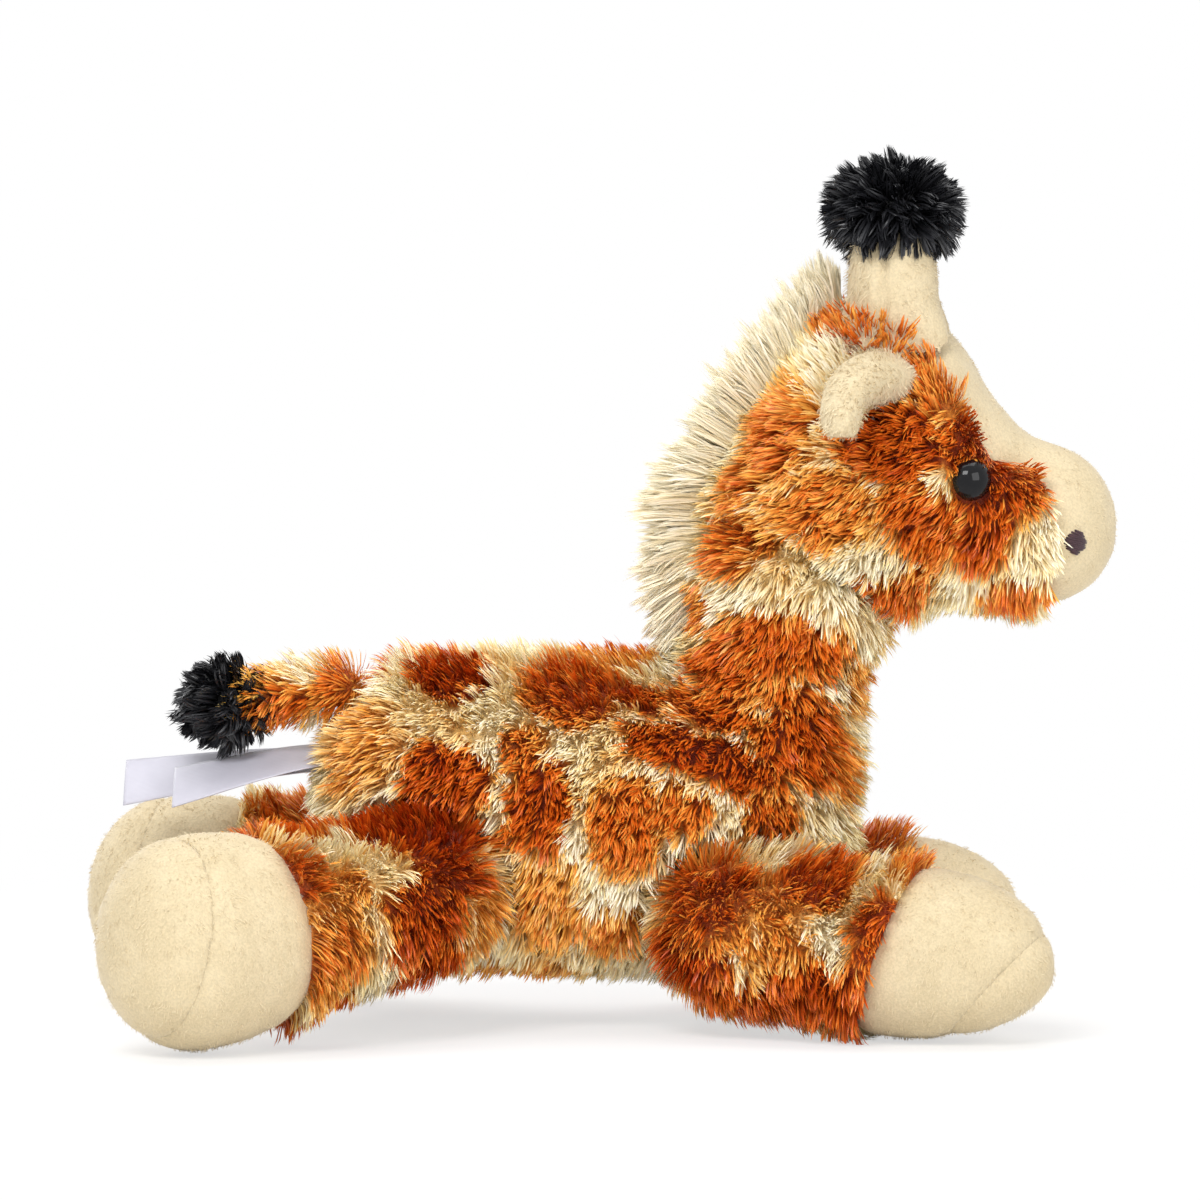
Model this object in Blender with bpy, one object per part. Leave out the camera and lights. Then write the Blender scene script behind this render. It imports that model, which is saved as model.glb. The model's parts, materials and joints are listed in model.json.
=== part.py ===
# A stuffed toy giraffe that lies on four spread hooves with its head held up.
# Every cover is a sewn shell with its own filling inside, and the covers meet at seams.
# The legs, head, tail and ears are seated as balls in pockets, so that they can swing.
# +X is towards the nose, +Y is the giraffe's left, +Z is up, and the floor is at Z = 0.

import math

import bmesh
import bpy
from mathutils import Matrix, Vector

MM = 0.001

# Sewing
COVER_WALL = 3.0 * MM  # backing cloth with its pressed pile
SEAM_GAP = 0.3 * MM  # between two panels that a seam joins, and between a cover and its filling
JOINT_GAP = 0.8 * MM  # between a moving form and the pocket that it turns in
FILLING_GAP = 1.6 * MM  # between a moving form and the filling round its pocket
OVERRUN = 12.0 * MM  # how far a cutter runs past what it cuts
SOLE_FLAT = 0.5 * MM  # how deep the floor presses into a hoof

# Torso
TORSO_LENGTH = 108.0 * MM
TORSO_HEIGHT = 64.5 * MM
TORSO_WIDTH = 52.0 * MM
RUMP_X = -56.2 * MM
BELLY_Z = 9.3 * MM
TORSO_PLACE_SHARES = (0.0, 0.25, 0.5, 0.75, 1.0)
TORSO_HEIGHT_SHARES = (0.93, 0.98, 1.0, 1.0, 0.94)
TORSO_WIDTH_SHARES = (0.86, 0.96, 1.0, 0.98, 0.88)
TORSO_RISE_SHARES = (0.035, 0.01, 0.0, -0.01, -0.02)
TORSO_REAR_ROUND_SHARE = 0.17
TORSO_FRONT_ROUND_SHARE = 0.24

# Neck, a fat post whose round top is the ball that the head turns on
NECK_SETBACK = 14.0 * MM  # from the chest back to the middle of the ball
NECK_RISE = 11.2 * MM  # from the top of the back up to the middle of the ball
NECK_BALL_X = RUMP_X + TORSO_LENGTH - NECK_SETBACK
NECK_BALL_Z = BELLY_Z + TORSO_HEIGHT + NECK_RISE
NECK_BALL_RADIUS = 20.5 * MM
NECK_REACH = 52.0 * MM
NECK_FOOT_RADIUS = 22.0 * MM
NECK_LEAN = 10.0  # degrees that the post leans forwards
NECK_PLACE_SHARES = (0.0, 0.3, 0.6, 1.0)
NECK_SWELL_SHARES = (0.0, -1.2, 0.3, 1.0)
NECK_DOME_SHARE = 0.25
HEAD_NOD_UP = -8.0
HEAD_NOD_DOWN = 16.0

# Head, from the nape to the tip of the nose, in the frame of the neck ball
HEAD_TURN = -3.0  # degrees that the head is turned towards the giraffe's right
HEAD_LENGTH = 83.6 * MM
HEAD_HEIGHT = 62.5 * MM
HEAD_WIDTH = 50.0 * MM
NAPE_X = -19.0 * MM
HEAD_AXIS_Z = 11.0 * MM
HEAD_PLACE_SHARES = (0.0, 0.09, 0.19, 0.26, 0.32, 0.42, 0.51, 0.59, 0.65, 0.70, 0.75, 0.81, 0.90, 1.0)
HEAD_HEIGHT_SHARES = (0.74, 0.80, 0.87, 0.97, 1.0, 0.98, 0.94, 0.88, 0.79, 0.69, 0.59, 0.53, 0.54, 0.54)
HEAD_RISE_SHARES = (-0.06, -0.02, 0.09, 0.155, 0.18, 0.185, 0.205, 0.215, 0.15, 0.09, 0.05, 0.035, 0.03, 0.025)
HEAD_WIDTH_SHARES = (0.62, 0.72, 0.85, 0.92, 0.97, 1.0, 0.99, 0.94, 0.87, 0.80, 0.73, 0.67, 0.64, 0.62)
HEAD_REAR_ROUND_SHARE = 0.26
HEAD_NOSE_ROUND_SHARE = 0.19
# The seam of the pale face panel, from behind the horns down the cheek to the chin:
# shares of the head's length from the nape, and of its height above its axis.
FACE_SEAM_SHARES = (
    (0.335, 0.72),
    (0.34, 0.61),
    (0.525, 0.59),
    (0.60, 0.46),
    (0.66, 0.35),
    (0.68, 0.225),
    (0.74, 0.11),
    (0.835, 0.01),
    (0.825, -0.13),
    (0.80, -0.21),
    (0.765, -0.42),
)

# Horns, with a black tuft on each
HORN_FOOT_SHARES = (0.4665, 0.40)
HORN_SPREAD = 10.2 * MM
HORN_LENGTH = 36.0 * MM
HORN_FOOT_RADIUS = 10.3 * MM
HORN_FLATNESS_SHARE = 0.85
HORN_PLACE_SHARES = (0.0, 0.5, 0.8, 1.0)
HORN_RADIUS_SHARES = (1.02, 0.97, 0.90, 0.86)
HORN_ROUND_SHARE = 0.16
TUFT_LENGTH = 28.0 * MM
TUFT_HEIGHT = 24.5 * MM
TUFT_WIDTH = 19.4 * MM
TUFT_RISE = 38.0 * MM  # from the horn's foot up to the middle of the tuft
TUFT_LEAN_SHARE = 0.25  # how much fuller it is below its middle

# Ears, cupped leaves on a ball root
EAR_ROOT_SHARES = (0.40, 0.448)
EAR_SPREAD = 19.5 * MM
EAR_ROOT_RADIUS = 3.6 * MM
EAR_REACH = 21.0 * MM
EAR_HALF_WIDTH = 9.4 * MM
EAR_HALF_THICKNESS = 2.2 * MM
EAR_CUP = 8.0 * MM
EAR_TILT = -24.0  # degrees that the leaf is rolled, with its front edge up
EAR_SWEEP = 12.0  # degrees that the ear points backwards
EAR_RAISE = 8.0  # degrees that the ear points upwards
EAR_PLACE_SHARES = (0.0, 0.2, 0.45, 0.7, 1.0)
EAR_SPREAD_SHARES = (0.0, 0.45, 0.95, 1.0, 0.80)
EAR_DOME_SHARE = 0.34
EAR_FLAP_UP = 20.0
EAR_FLAP_DOWN = -14.0

# Mane, a strip of long pile along the back of the head, as places on the head:
# shares of its length from the nape, and of its height above its axis.
MANE_PATH_SHARES = (
    (0.32, 0.62),
    (0.27, 0.545),
    (0.19, 0.425),
    (0.12, 0.325),
    (0.042, 0.175),
    (0.03, 0.04),
    (-0.03, -0.13),
    (-0.10, -0.25),
)
MANE_HALF_HEIGHT = 11.5 * MM
MANE_HALF_WIDTH = 3.6 * MM
MANE_ROUND_SHARE = 0.14

# Safety eyes with a washer behind the cloth, and embroidered nostrils
EYE_SHARES = (0.652, 0.182)
EYE_RADIUS = 4.0 * MM
EYE_HEIGHT = 3.0 * MM
EYE_SINK = 0.6 * MM
EYE_TURN = 28.0  # degrees from straight sideways towards the nose
STEM_RADIUS = 1.1 * MM
STEM_LENGTH = 8.0 * MM
WASHER_RADIUS = 4.4 * MM
WASHER_THICKNESS = 1.0 * MM
WASHER_FRONT = -5.0 * MM  # where the washer's face sits, below the surface of the fur
NOSTRIL_SHARES = (0.901, -0.019)
NOSTRIL_HALF_LENGTH = 2.0 * MM
NOSTRIL_HALF_HEIGHT = 2.4 * MM
NOSTRIL_THICKNESS = 1.0 * MM
NOSTRIL_TURN = 33.0  # degrees from straight sideways towards the nose

# Hind legs
HIP_SETBACK = 22.5 * MM  # from the rump forward to the hip
HIP_INSET = 2.0 * MM  # from the flank in to the hip
HIP_X = RUMP_X + HIP_SETBACK
HIP_Y = TORSO_WIDTH / 2 - HIP_INSET
HIP_Z = 27.0 * MM
HIND_REACH = 70.0 * MM
HIND_BALL_RADIUS = 16.5 * MM
HIND_HOOF_HALF_HEIGHT = 21.8 * MM
HIND_HOOF_HALF_WIDTH = 19.4 * MM
HIND_ANKLE = 32.0 * MM
HIND_ANKLE_TILT = 8.0
HIND_SOLE = 56.0 * MM
HIND_SOLE_TILT = -9.0
HIND_PLACE_SHARES = (0.0, 0.22, 0.45, 0.62, 0.72, 1.0)
HIND_SWELL_SHARES = (0.0, 0.20, 0.50, 0.90, 1.0, 1.0)
HIND_DOME_SHARE = 0.27
HIND_TIP_SINK = 0.0 * MM
HIND_RIGHT_SPREAD = 33.0
HIND_LEFT_SPREAD = 12.0

# The toy is set down with one hind leg spread wider, so its midplane isn't in the middle.
MIDPLANE_Y = (
    (HIND_REACH - HIND_HOOF_HALF_WIDTH)
    * (math.sin(math.radians(HIND_RIGHT_SPREAD)) - math.sin(math.radians(HIND_LEFT_SPREAD)))
    / 2
)

# Front legs
SHOULDER_SETBACK = 24.5 * MM  # from the chest back to the shoulder
SHOULDER_INSET = 5.0 * MM  # from the flank in to the shoulder
SHOULDER_X = RUMP_X + TORSO_LENGTH - SHOULDER_SETBACK
SHOULDER_Y = TORSO_WIDTH / 2 - SHOULDER_INSET
SHOULDER_Z = 20.0 * MM
FRONT_REACH = 63.5 * MM
FRONT_BALL_RADIUS = 16.8 * MM
FRONT_HOOF_HALF_HEIGHT = 17.6 * MM
FRONT_HOOF_HALF_WIDTH = 17.2 * MM
FRONT_ANKLE = 33.0 * MM
FRONT_ANKLE_TILT = 20.0
FRONT_SOLE = 59.5 * MM
FRONT_SOLE_TILT = 42.0
FRONT_PLACE_SHARES = (0.0, 0.22, 0.45, 0.6, 0.7, 1.0)
FRONT_SWELL_SHARES = (0.0, 0.35, 1.0, 0.95, 0.55, 0.0)
FRONT_DOME_SHARE = 0.40
FRONT_TIP_SINK = 3.0 * MM
FRONT_RIGHT_SPREAD = 15.0
FRONT_LEFT_SPREAD = 21.0

LEG_SWING_IN = 8.0
LEG_SWING_OUT = 24.0

# Tail with a black tassel
TAIL_SETBACK = 7.0 * MM  # from the rump forward to the pivot
TAIL_DROP = 8.0 * MM  # from the top of the back down to the pivot
TAIL_X = RUMP_X + TAIL_SETBACK
TAIL_Z = BELLY_Z + TORSO_HEIGHT - TAIL_DROP
TAIL_ROOT_RADIUS = 6.6 * MM
TAIL_REACH = 24.0 * MM
TAIL_END_RADIUS = 6.2 * MM
TAIL_DROOP = 5.0  # degrees below level
TAIL_PLACE_SHARES = (0.0, 0.5, 1.0)
TAIL_SWELL_SHARES = (0.0, 0.5, 1.0)
TAIL_DOME_SHARE = 0.25
TAIL_WAG = 24.0
TASSEL_LENGTH = 23.0 * MM
TASSEL_WIDTH = 18.0 * MM
TASSEL_HEIGHT = 20.0 * MM
TASSEL_DROOP = 25.0
TASSEL_X = -24.8 * MM
TASSEL_Z = -1.6 * MM

# Pouch of plastic pellets at the bottom of the belly
POUCH_LENGTH = 56.0 * MM
POUCH_WIDTH = 30.0 * MM
POUCH_HEIGHT = 26.0 * MM
POUCH_X = -4.0 * MM
POUCH_Z = 20.0 * MM

# Sewn-in labels: bare ribbons that leave the rump below the tail
LABEL_SETBACK = 11.0 * MM  # from the rump forward to the sewn ends
LABEL_ROOT_X = RUMP_X + LABEL_SETBACK
LABEL_WIDTH = 13.0 * MM
LABEL_THICKNESS = 0.5 * MM
LABEL_STEPS = 10
LABEL_ROLL = 38.0  # degrees that the ribbon's near edge hangs
LONG_LABEL_REACH = 47.0 * MM
LONG_LABEL_DROP = 14.2 * MM  # from the tail's root down to the sewn end
LONG_LABEL_Z = TAIL_Z - LONG_LABEL_DROP
LONG_LABEL_SAG = 4.4 * MM
LONG_LABEL_SHIFT = 2.5 * MM
SHORT_LABEL_REACH = 37.0 * MM
SHORT_LABEL_DROP = 12.8 * MM
SHORT_LABEL_Z = TAIL_Z - SHORT_LABEL_DROP
SHORT_LABEL_SAG = 6.0 * MM
SHORT_LABEL_SHIFT = -6.0 * MM

# Facets
BODY_SIDES = 24
BODY_RINGS = 16
TORSO_RINGS = 12
HOLLOW_SIDES = 18
HOLLOW_RINGS = 12
LIMB_SIDES = 20
LIMB_RINGS = 16
SMALL_SIDES = 14
SMALL_RINGS = 10
LIMB_ROOT_SHARE = 5 / LIMB_RINGS
LIMB_END_SHARE = 5 / LIMB_RINGS
POCKET_SIDES = 30
POCKET_RINGS = LIMB_RINGS
ROOM_SIDES = 20
TINY_SIDES = 12
TINY_RINGS = 6
POCKET_ARC_SHARE = 1 / 10  # how much of a pocket's ring follows the swing at each ridge

FUR = ("tawny_long_pile", (0.52, 0.22, 0.05), 0.75)
CREAM = ("cream_short_pile", (0.86, 0.72, 0.50), 0.85)
MANE_PILE = ("cream_long_pile", (0.83, 0.74, 0.57), 0.75)
BLACK = ("black_long_pile", (0.012, 0.012, 0.014), 0.65)
EYE_BLACK = ("eye_plastic", (0.01, 0.01, 0.01), 0.08)
WHITE_PLASTIC = ("washer_plastic", (0.75, 0.75, 0.74), 0.4)
THREAD = ("nostril_thread", (0.07, 0.03, 0.035), 0.6)
FIBRE = ("fibre_filling", (0.85, 0.85, 0.84), 0.9)
POUCH_CLOTH = ("pellet_pouch_cloth", (0.7, 0.68, 0.63), 0.8)
RIBBON = ("label_ribbon", (0.80, 0.77, 0.80), 0.5)


def read_curve(places, values, place):
    """A value on a smooth curve through the table's points."""
    if place <= places[0]:
        return values[0]
    if place >= places[-1]:
        return values[-1]
    index = max(i for i, at in enumerate(places) if at <= place)

    def slope(i):
        low, high = max(i - 1, 0), min(i + 1, len(places) - 1)
        return (values[high] - values[low]) / (places[high] - places[low])

    width = places[index + 1] - places[index]
    t = (place - places[index]) / width
    rise = values[index + 1] - values[index]
    bend = (slope(index) * width - rise) * (1 - t) + (rise - slope(index + 1) * width) * t
    return values[index] + rise * t + bend * t * (1 - t)


def rounding(along, rear_share, front_share):
    """How wide a form is at a share of its length, with elliptical ends."""
    if along < rear_share:
        return math.sqrt(max(0.0, 1 - (1 - along / rear_share) ** 2))
    if along > 1 - front_share:
        return math.sqrt(max(0.0, 1 - ((along - 1) / front_share + 1) ** 2))
    return 1.0


def clear_scene():
    for item in list(bpy.data.objects):
        bpy.data.objects.remove(item)


def make_material(finish):
    name, colour, roughness = finish
    material = bpy.data.materials.get(name)
    if material is None:
        material = bpy.data.materials.new(name)
        material.use_nodes = True
        shader = material.node_tree.nodes["Principled BSDF"]
        shader.inputs["Base Color"].default_value = (*colour, 1.0)
        shader.inputs["Roughness"].default_value = roughness
        shader.inputs["Metallic"].default_value = 0.0
        material.diffuse_color = (*colour, 1.0)
    return material


def add_object(name, mesh, parent, finish):
    """Puts a mesh in the scene. Without a finish it is a cutter, which isn't a piece of the toy."""
    item = bpy.data.objects.new(name, mesh)
    bpy.context.scene.collection.objects.link(item)
    item.parent = parent
    if finish is None:
        item.hide_render = True
        item.display_type = "WIRE"
    else:
        mesh.materials.clear()
        mesh.materials.append(make_material(finish))
    return item


def mesh_of(name, model):
    bmesh.ops.recalc_face_normals(model, faces=model.faces)
    if model.calc_volume(signed=True) < 0:
        bmesh.ops.reverse_faces(model, faces=model.faces)
    mesh = bpy.data.meshes.new(name)
    model.to_mesh(mesh)
    model.free()
    mesh.shade_smooth()
    return mesh


def stuffed_mesh(name, place, sides, rings, offset):
    """A ball whose rings are drawn out along the form that place() describes."""
    model = bmesh.new()
    bmesh.ops.create_uvsphere(model, u_segments=sides, v_segments=rings, radius=1.0)
    for vertex in model.verts:
        share = math.acos(max(-1.0, min(1.0, -vertex.co.z))) / math.pi
        around = Vector((vertex.co.x, vertex.co.y))
        if around.length > 1e-4:
            around.normalize()
        vertex.co = place(share, around.x, around.y, offset)
    return mesh_of(name, model)


def stuffed(name, place, parent, finish=None, offset=0.0, sides=BODY_SIDES, rings=BODY_RINGS):
    return add_object(name, stuffed_mesh(name, place, sides, rings, offset), parent, finish)


def cut(item, *cutters, operation="DIFFERENCE"):
    """Adds one exact Boolean for each cutter."""
    for cutter in cutters:
        modifier = item.modifiers.new(f"{operation.lower()}_{cutter.name}"[:60], "BOOLEAN")
        modifier.solver = "EXACT"
        modifier.operation = operation
        modifier.object = cutter


def empty_at(name, location, turn=0.0):
    """The frame of a moving piece, with its origin on the joint's axis."""
    pivot = bpy.data.objects.new(name, None)
    bpy.context.scene.collection.objects.link(pivot)
    pivot.location = location
    pivot.rotation_euler = (0.0, 0.0, math.radians(turn))
    return pivot


def pocket_ring(turn, low, high):
    """Where a share of a turn round a pocket lies: towards one side, towards the ridge, and swung how far."""
    quarter = (1 - 2 * POCKET_ARC_SHARE) / 4
    turn = (turn + quarter) % 1.0 - quarter
    if turn <= quarter:
        angle, swing = turn / quarter, high
    elif turn < quarter + POCKET_ARC_SHARE:
        angle, swing = 1.0, high + (low - high) * (turn - quarter) / POCKET_ARC_SHARE
    elif turn <= 3 * quarter + POCKET_ARC_SHARE:
        angle, swing = 1 + (turn - quarter - POCKET_ARC_SHARE) / quarter, low
    else:
        angle, swing = 3.0, low + (high - low) * (turn - 3 * quarter - POCKET_ARC_SHARE) / POCKET_ARC_SHARE
    return math.cos(angle * math.pi / 2), math.sin(angle * math.pi / 2), math.radians(swing)


def pocket(name, place, parent, low, high, axis="Z", gap=JOINT_GAP, sides=POCKET_SIDES, rings=POCKET_RINGS):
    """The room that a limb sweeps as it swings from low to high degrees about its own Z or Y axis."""
    model = bmesh.new()
    bmesh.ops.create_uvsphere(model, u_segments=sides, v_segments=rings, radius=1.0)
    for vertex in model.verts:
        share = math.acos(max(-1.0, min(1.0, -vertex.co.z))) / math.pi
        turn = math.atan2(vertex.co.y, vertex.co.x) / (2 * math.pi)
        if axis == "Z":
            across, rise, swing = pocket_ring(turn, low, high)
        else:
            rise, across, swing = pocket_ring(turn, high, low)
        if 1e-4 < share < 1 - 1e-4:
            point = place(share, across, rise, gap)
        else:
            point, swing = place(share, 0.0, 0.0, gap), math.radians((low + high) / 2)
        if point.x < 0:
            aside = abs(point.y if axis == "Z" else point.z)
            swing *= (math.pi - math.atan2(aside, point.x)) / (math.pi / 2)
        vertex.co = Matrix.Rotation(swing, 3, axis) @ point
    bmesh.ops.remove_doubles(model, verts=model.verts, dist=SEAM_GAP / 100)
    return add_object(name, mesh_of(name, model), parent, None)


def pockets(name, place, parent, low, high, axis="Z"):
    """A close pocket for the covers, and a wider and plainer one for the filling behind them."""
    close = pocket(f"{name}_pocket", place, parent, low, high, axis)
    room = pocket(f"{name}_room", place, parent, low, high, axis, FILLING_GAP, ROOM_SIDES)
    return close, room


def slab(name, parent, location, tilt, size, side):
    """A block whose face stands across the local X axis at location, leaning by tilt degrees."""
    model = bmesh.new()
    turn = Matrix.Rotation(math.radians(tilt), 4, "Y")
    shift = Matrix.Translation((side * size / 2, 0.0, 0.0))
    bmesh.ops.create_cube(model, size=size, matrix=Matrix.Translation(location) @ turn @ shift)
    return add_object(name, mesh_of(name, model), parent, None)


def block(name, parent, low, high):
    """A box between two corners."""
    model = bmesh.new()
    middle = (Vector(low) + Vector(high)) / 2
    size = Matrix.Diagonal((*(Vector(high) - Vector(low)), 1.0))
    bmesh.ops.create_cube(model, size=1.0, matrix=Matrix.Translation(middle) @ size)
    return add_object(name, mesh_of(name, model), parent, None)


def limb_place(reach, ball, end_radii, places, swells, dome_share, drop=0.0, sink=0.0, cup=0.0):
    """A form with a ball round its pivot, a shaft along +X and a domed end. drop and sink lower its far end."""
    end_half_width, end_half_height = end_radii

    def place(share, across, rise, offset):
        root = ball + offset
        dome = reach * dome_share
        shaft = reach - dome
        if share < LIMB_ROOT_SHARE:
            angle = share / LIMB_ROOT_SHARE * math.pi / 2
            radius = root * math.sin(angle)
            return Vector((-root * math.cos(angle), across * radius, rise * radius))
        end = max(0.0, (share - 1 + LIMB_END_SHARE) / LIMB_END_SHARE)
        if end > 0:
            along = shaft + (dome + offset) * math.sin(end * math.pi / 2)
            narrowing = math.cos(min(1.0, end) * math.pi / 2)
        else:
            span = 1 - LIMB_END_SHARE - LIMB_ROOT_SHARE
            along = shaft * (share - LIMB_ROOT_SHARE) / span
            narrowing = 1.0
        way = min(1.0, along / reach)
        swell = read_curve(places, swells, way)
        half_width = (ball + (end_half_width - ball) * swell + offset) * narrowing
        half_height = (ball + (end_half_height - ball) * swell + offset) * narrowing
        fall = min(1.0, along / shaft)
        fall = fall * fall * (3 - 2 * fall)
        curl = cup * swell * across * across
        fall = drop * fall + sink * end * end
        return Vector((along, across * half_width, rise * half_height - fall - curl))

    return place


# Torso

def torso_place(share, across, rise, offset):
    along = (1 - math.cos(math.pi * share)) / 2
    swell = rounding(along, TORSO_REAR_ROUND_SHARE, TORSO_FRONT_ROUND_SHARE)
    height = read_curve(TORSO_PLACE_SHARES, TORSO_HEIGHT_SHARES, along) * TORSO_HEIGHT / 2
    width = read_curve(TORSO_PLACE_SHARES, TORSO_WIDTH_SHARES, along) * TORSO_WIDTH / 2
    lift = read_curve(TORSO_PLACE_SHARES, TORSO_RISE_SHARES, along) * TORSO_HEIGHT
    middle = BELLY_Z + TORSO_HEIGHT / 2 + lift
    x = RUMP_X - offset + (TORSO_LENGTH + 2 * offset) * along
    return Vector((x, across * (width + offset) * swell, middle + rise * (height + offset) * swell))


NECK_PLACE = limb_place(
    NECK_REACH,
    NECK_BALL_RADIUS,
    (NECK_FOOT_RADIUS, NECK_FOOT_RADIUS),
    NECK_PLACE_SHARES,
    NECK_SWELL_SHARES,
    NECK_DOME_SHARE,
)


def neck_form(name, parent, offset):
    """The neck post hangs from the ball at its top, down into the chest."""
    form = stuffed(name, NECK_PLACE, parent, offset=offset, sides=LIMB_SIDES, rings=LIMB_RINGS)
    form.rotation_euler = (0.0, math.radians(90.0 + NECK_LEAN), 0.0)
    return form


# Legs

def leg_sizes(kind):
    if kind == "hind":
        ends = (HIND_HOOF_HALF_WIDTH, HIND_HOOF_HALF_HEIGHT)
        drop = HIP_Z - HIND_HOOF_HALF_HEIGHT + SOLE_FLAT
        shares = (HIND_PLACE_SHARES, HIND_SWELL_SHARES, HIND_DOME_SHARE)
        form = limb_place(HIND_REACH, HIND_BALL_RADIUS, ends, *shares, drop, HIND_TIP_SINK)
        return form, HIND_ANKLE, HIND_ANKLE_TILT, HIND_SOLE, HIND_SOLE_TILT, HIND_REACH
    ends = (FRONT_HOOF_HALF_WIDTH, FRONT_HOOF_HALF_HEIGHT)
    drop = SHOULDER_Z - FRONT_HOOF_HALF_HEIGHT + SOLE_FLAT
    shares = (FRONT_PLACE_SHARES, FRONT_SWELL_SHARES, FRONT_DOME_SHARE)
    form = limb_place(FRONT_REACH, FRONT_BALL_RADIUS, ends, *shares, drop, FRONT_TIP_SINK)
    return form, FRONT_ANKLE, FRONT_ANKLE_TILT, FRONT_SOLE, FRONT_SOLE_TILT, FRONT_REACH


def make_leg(kind, side, pivot, floor, swing_in, swing_out):
    """One leg: fur cover, hoof wall, hoof sole and filling. It returns the cutters of its pocket."""
    form, ankle, ankle_tilt, sole, sole_tilt, reach = leg_sizes(kind)
    label = f"{kind}_{side}"
    size = reach * 2
    hollow = stuffed(f"{label}_hollow", form, pivot, offset=-COVER_WALL, sides=SMALL_SIDES, rings=HOLLOW_RINGS)
    behind = slab(f"{label}_behind_ankle", pivot, (ankle, 0.0, 0.0), ankle_tilt, size, -1)
    past_ankle = slab(f"{label}_past_ankle", pivot, (ankle - SEAM_GAP, 0.0, 0.0), ankle_tilt, size, 1)
    before_sole = slab(f"{label}_before_sole", pivot, (sole, 0.0, 0.0), sole_tilt, size, -1)
    past_sole = slab(f"{label}_past_sole", pivot, (sole - SEAM_GAP, 0.0, 0.0), sole_tilt, size, 1)
    panels = (
        (f"{label}_leg_cover", FUR, (past_ankle,)),
        (f"{label}_hoof_wall", CREAM, (behind, past_sole)),
        (f"{label}_hoof_sole", CREAM, (before_sole,)),
    )
    for name, finish, trims in panels:
        panel = stuffed(name, form, pivot, finish, sides=LIMB_SIDES, rings=LIMB_RINGS)
        cut(panel, hollow, *trims, floor)
    inside = -COVER_WALL - SEAM_GAP
    stuffed(f"{label}_leg_filling", form, pivot, FIBRE, inside, sides=SMALL_SIDES, rings=HOLLOW_RINGS)
    return pockets(label, form, pivot, swing_in, swing_out)


def make_legs():
    """Both pairs of legs. A leg swings in by LEG_SWING_IN and out by LEG_SWING_OUT about an upright axis."""
    low = (RUMP_X - TORSO_LENGTH, -TORSO_LENGTH, -OVERRUN)
    floor = block("floor_press", None, low, (TORSO_LENGTH * 2, TORSO_LENGTH, 0.0))
    corners = (
        ("hind", "right", HIP_X, -HIP_Y, HIP_Z, 180.0 + HIND_RIGHT_SPREAD, 1),
        ("hind", "left", HIP_X, HIP_Y, HIP_Z, 180.0 - HIND_LEFT_SPREAD, -1),
        ("front", "right", SHOULDER_X, -SHOULDER_Y, SHOULDER_Z, -FRONT_RIGHT_SPREAD, -1),
        ("front", "left", SHOULDER_X, SHOULDER_Y, SHOULDER_Z, FRONT_LEFT_SPREAD, 1),
    )
    leg_pockets = []
    for kind, side, x, y, z, heading, outwards in corners:
        pivot = empty_at(f"{kind}_{side}_joint", (x, MIDPLANE_Y + y, z), heading)
        limits = sorted((-LEG_SWING_IN * outwards, LEG_SWING_OUT * outwards))
        leg_pockets.append(make_leg(kind, side, pivot, floor, *limits))
    return leg_pockets


# Tail

def tassel_place(share, across, rise, offset):
    """A brush that is fullest two thirds of the way along."""
    along = (1 - math.cos(math.pi * share)) / 2
    swell = math.sin(math.pi * along**1.25) ** 0.6 if 0 < along < 1 else 0.0
    x = -(TASSEL_LENGTH + 2 * offset) * (along - 0.5)
    return Vector((x, across * (TASSEL_WIDTH / 2 + offset) * swell, rise * (TASSEL_HEIGHT / 2 + offset) * swell))


def make_tail():
    pivot = empty_at("tail_joint", (TAIL_X, MIDPLANE_Y, TAIL_Z))
    ends = (TAIL_END_RADIUS, TAIL_END_RADIUS)
    form = limb_place(
        TAIL_REACH, TAIL_ROOT_RADIUS, ends, TAIL_PLACE_SHARES, TAIL_SWELL_SHARES, TAIL_DOME_SHARE
    )
    forms = []
    for name, finish, offset in (("tail_cover", FUR, 0.0), ("tail_end_seat", None, SEAM_GAP)):
        forms.append(stuffed(name, form, pivot, finish, offset, sides=TINY_SIDES, rings=HOLLOW_RINGS))
    rooms = pockets("tail", form, pivot, -TAIL_WAG, TAIL_WAG)
    for item in (*forms, *rooms):
        item.rotation_euler = (0.0, math.radians(180.0 - TAIL_DROOP), 0.0)
    tassel = stuffed("tail_tassel", tassel_place, pivot, BLACK, sides=SMALL_SIDES, rings=HOLLOW_RINGS)
    tassel.location = (TASSEL_X, 0.0, TASSEL_Z)
    tassel.rotation_euler = (0.0, -math.radians(TASSEL_DROOP), 0.0)
    cut(tassel, forms[1])
    return rooms


# Labels

def make_label(name, reach, root_z, sag, shift, seat):
    """A folded-flat ribbon that bows down and rolls its near edge under as it leaves the seam."""
    model = bmesh.new()
    bmesh.ops.create_grid(model, x_segments=LABEL_STEPS, y_segments=1, size=0.5)
    for vertex in model.verts:
        along, across = vertex.co.x + 0.5, vertex.co.y
        roll = math.radians(LABEL_ROLL) * (0.25 + 0.75 * along * reach / LONG_LABEL_REACH)
        edge = Vector((0.0, math.cos(roll), math.sin(roll))) * (across * LABEL_WIDTH)
        bow = math.sin(along * math.pi * 0.5)
        middle = Vector((LABEL_ROOT_X - reach * along, MIDPLANE_Y + shift * bow, root_z - sag * along**1.6))
        vertex.co = middle + edge
    label = add_object(name, mesh_of(name, model), None, RIBBON)
    thicken = label.modifiers.new("ribbon", "SOLIDIFY")
    thicken.thickness = LABEL_THICKNESS
    thicken.offset = 0.0
    cut(label, seat)


# Head

def head_point(length_share, height_share):
    """A place on the head's midplane, in the frame of the neck ball."""
    return NAPE_X + HEAD_LENGTH * length_share, HEAD_AXIS_Z + HEAD_HEIGHT * height_share


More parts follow.
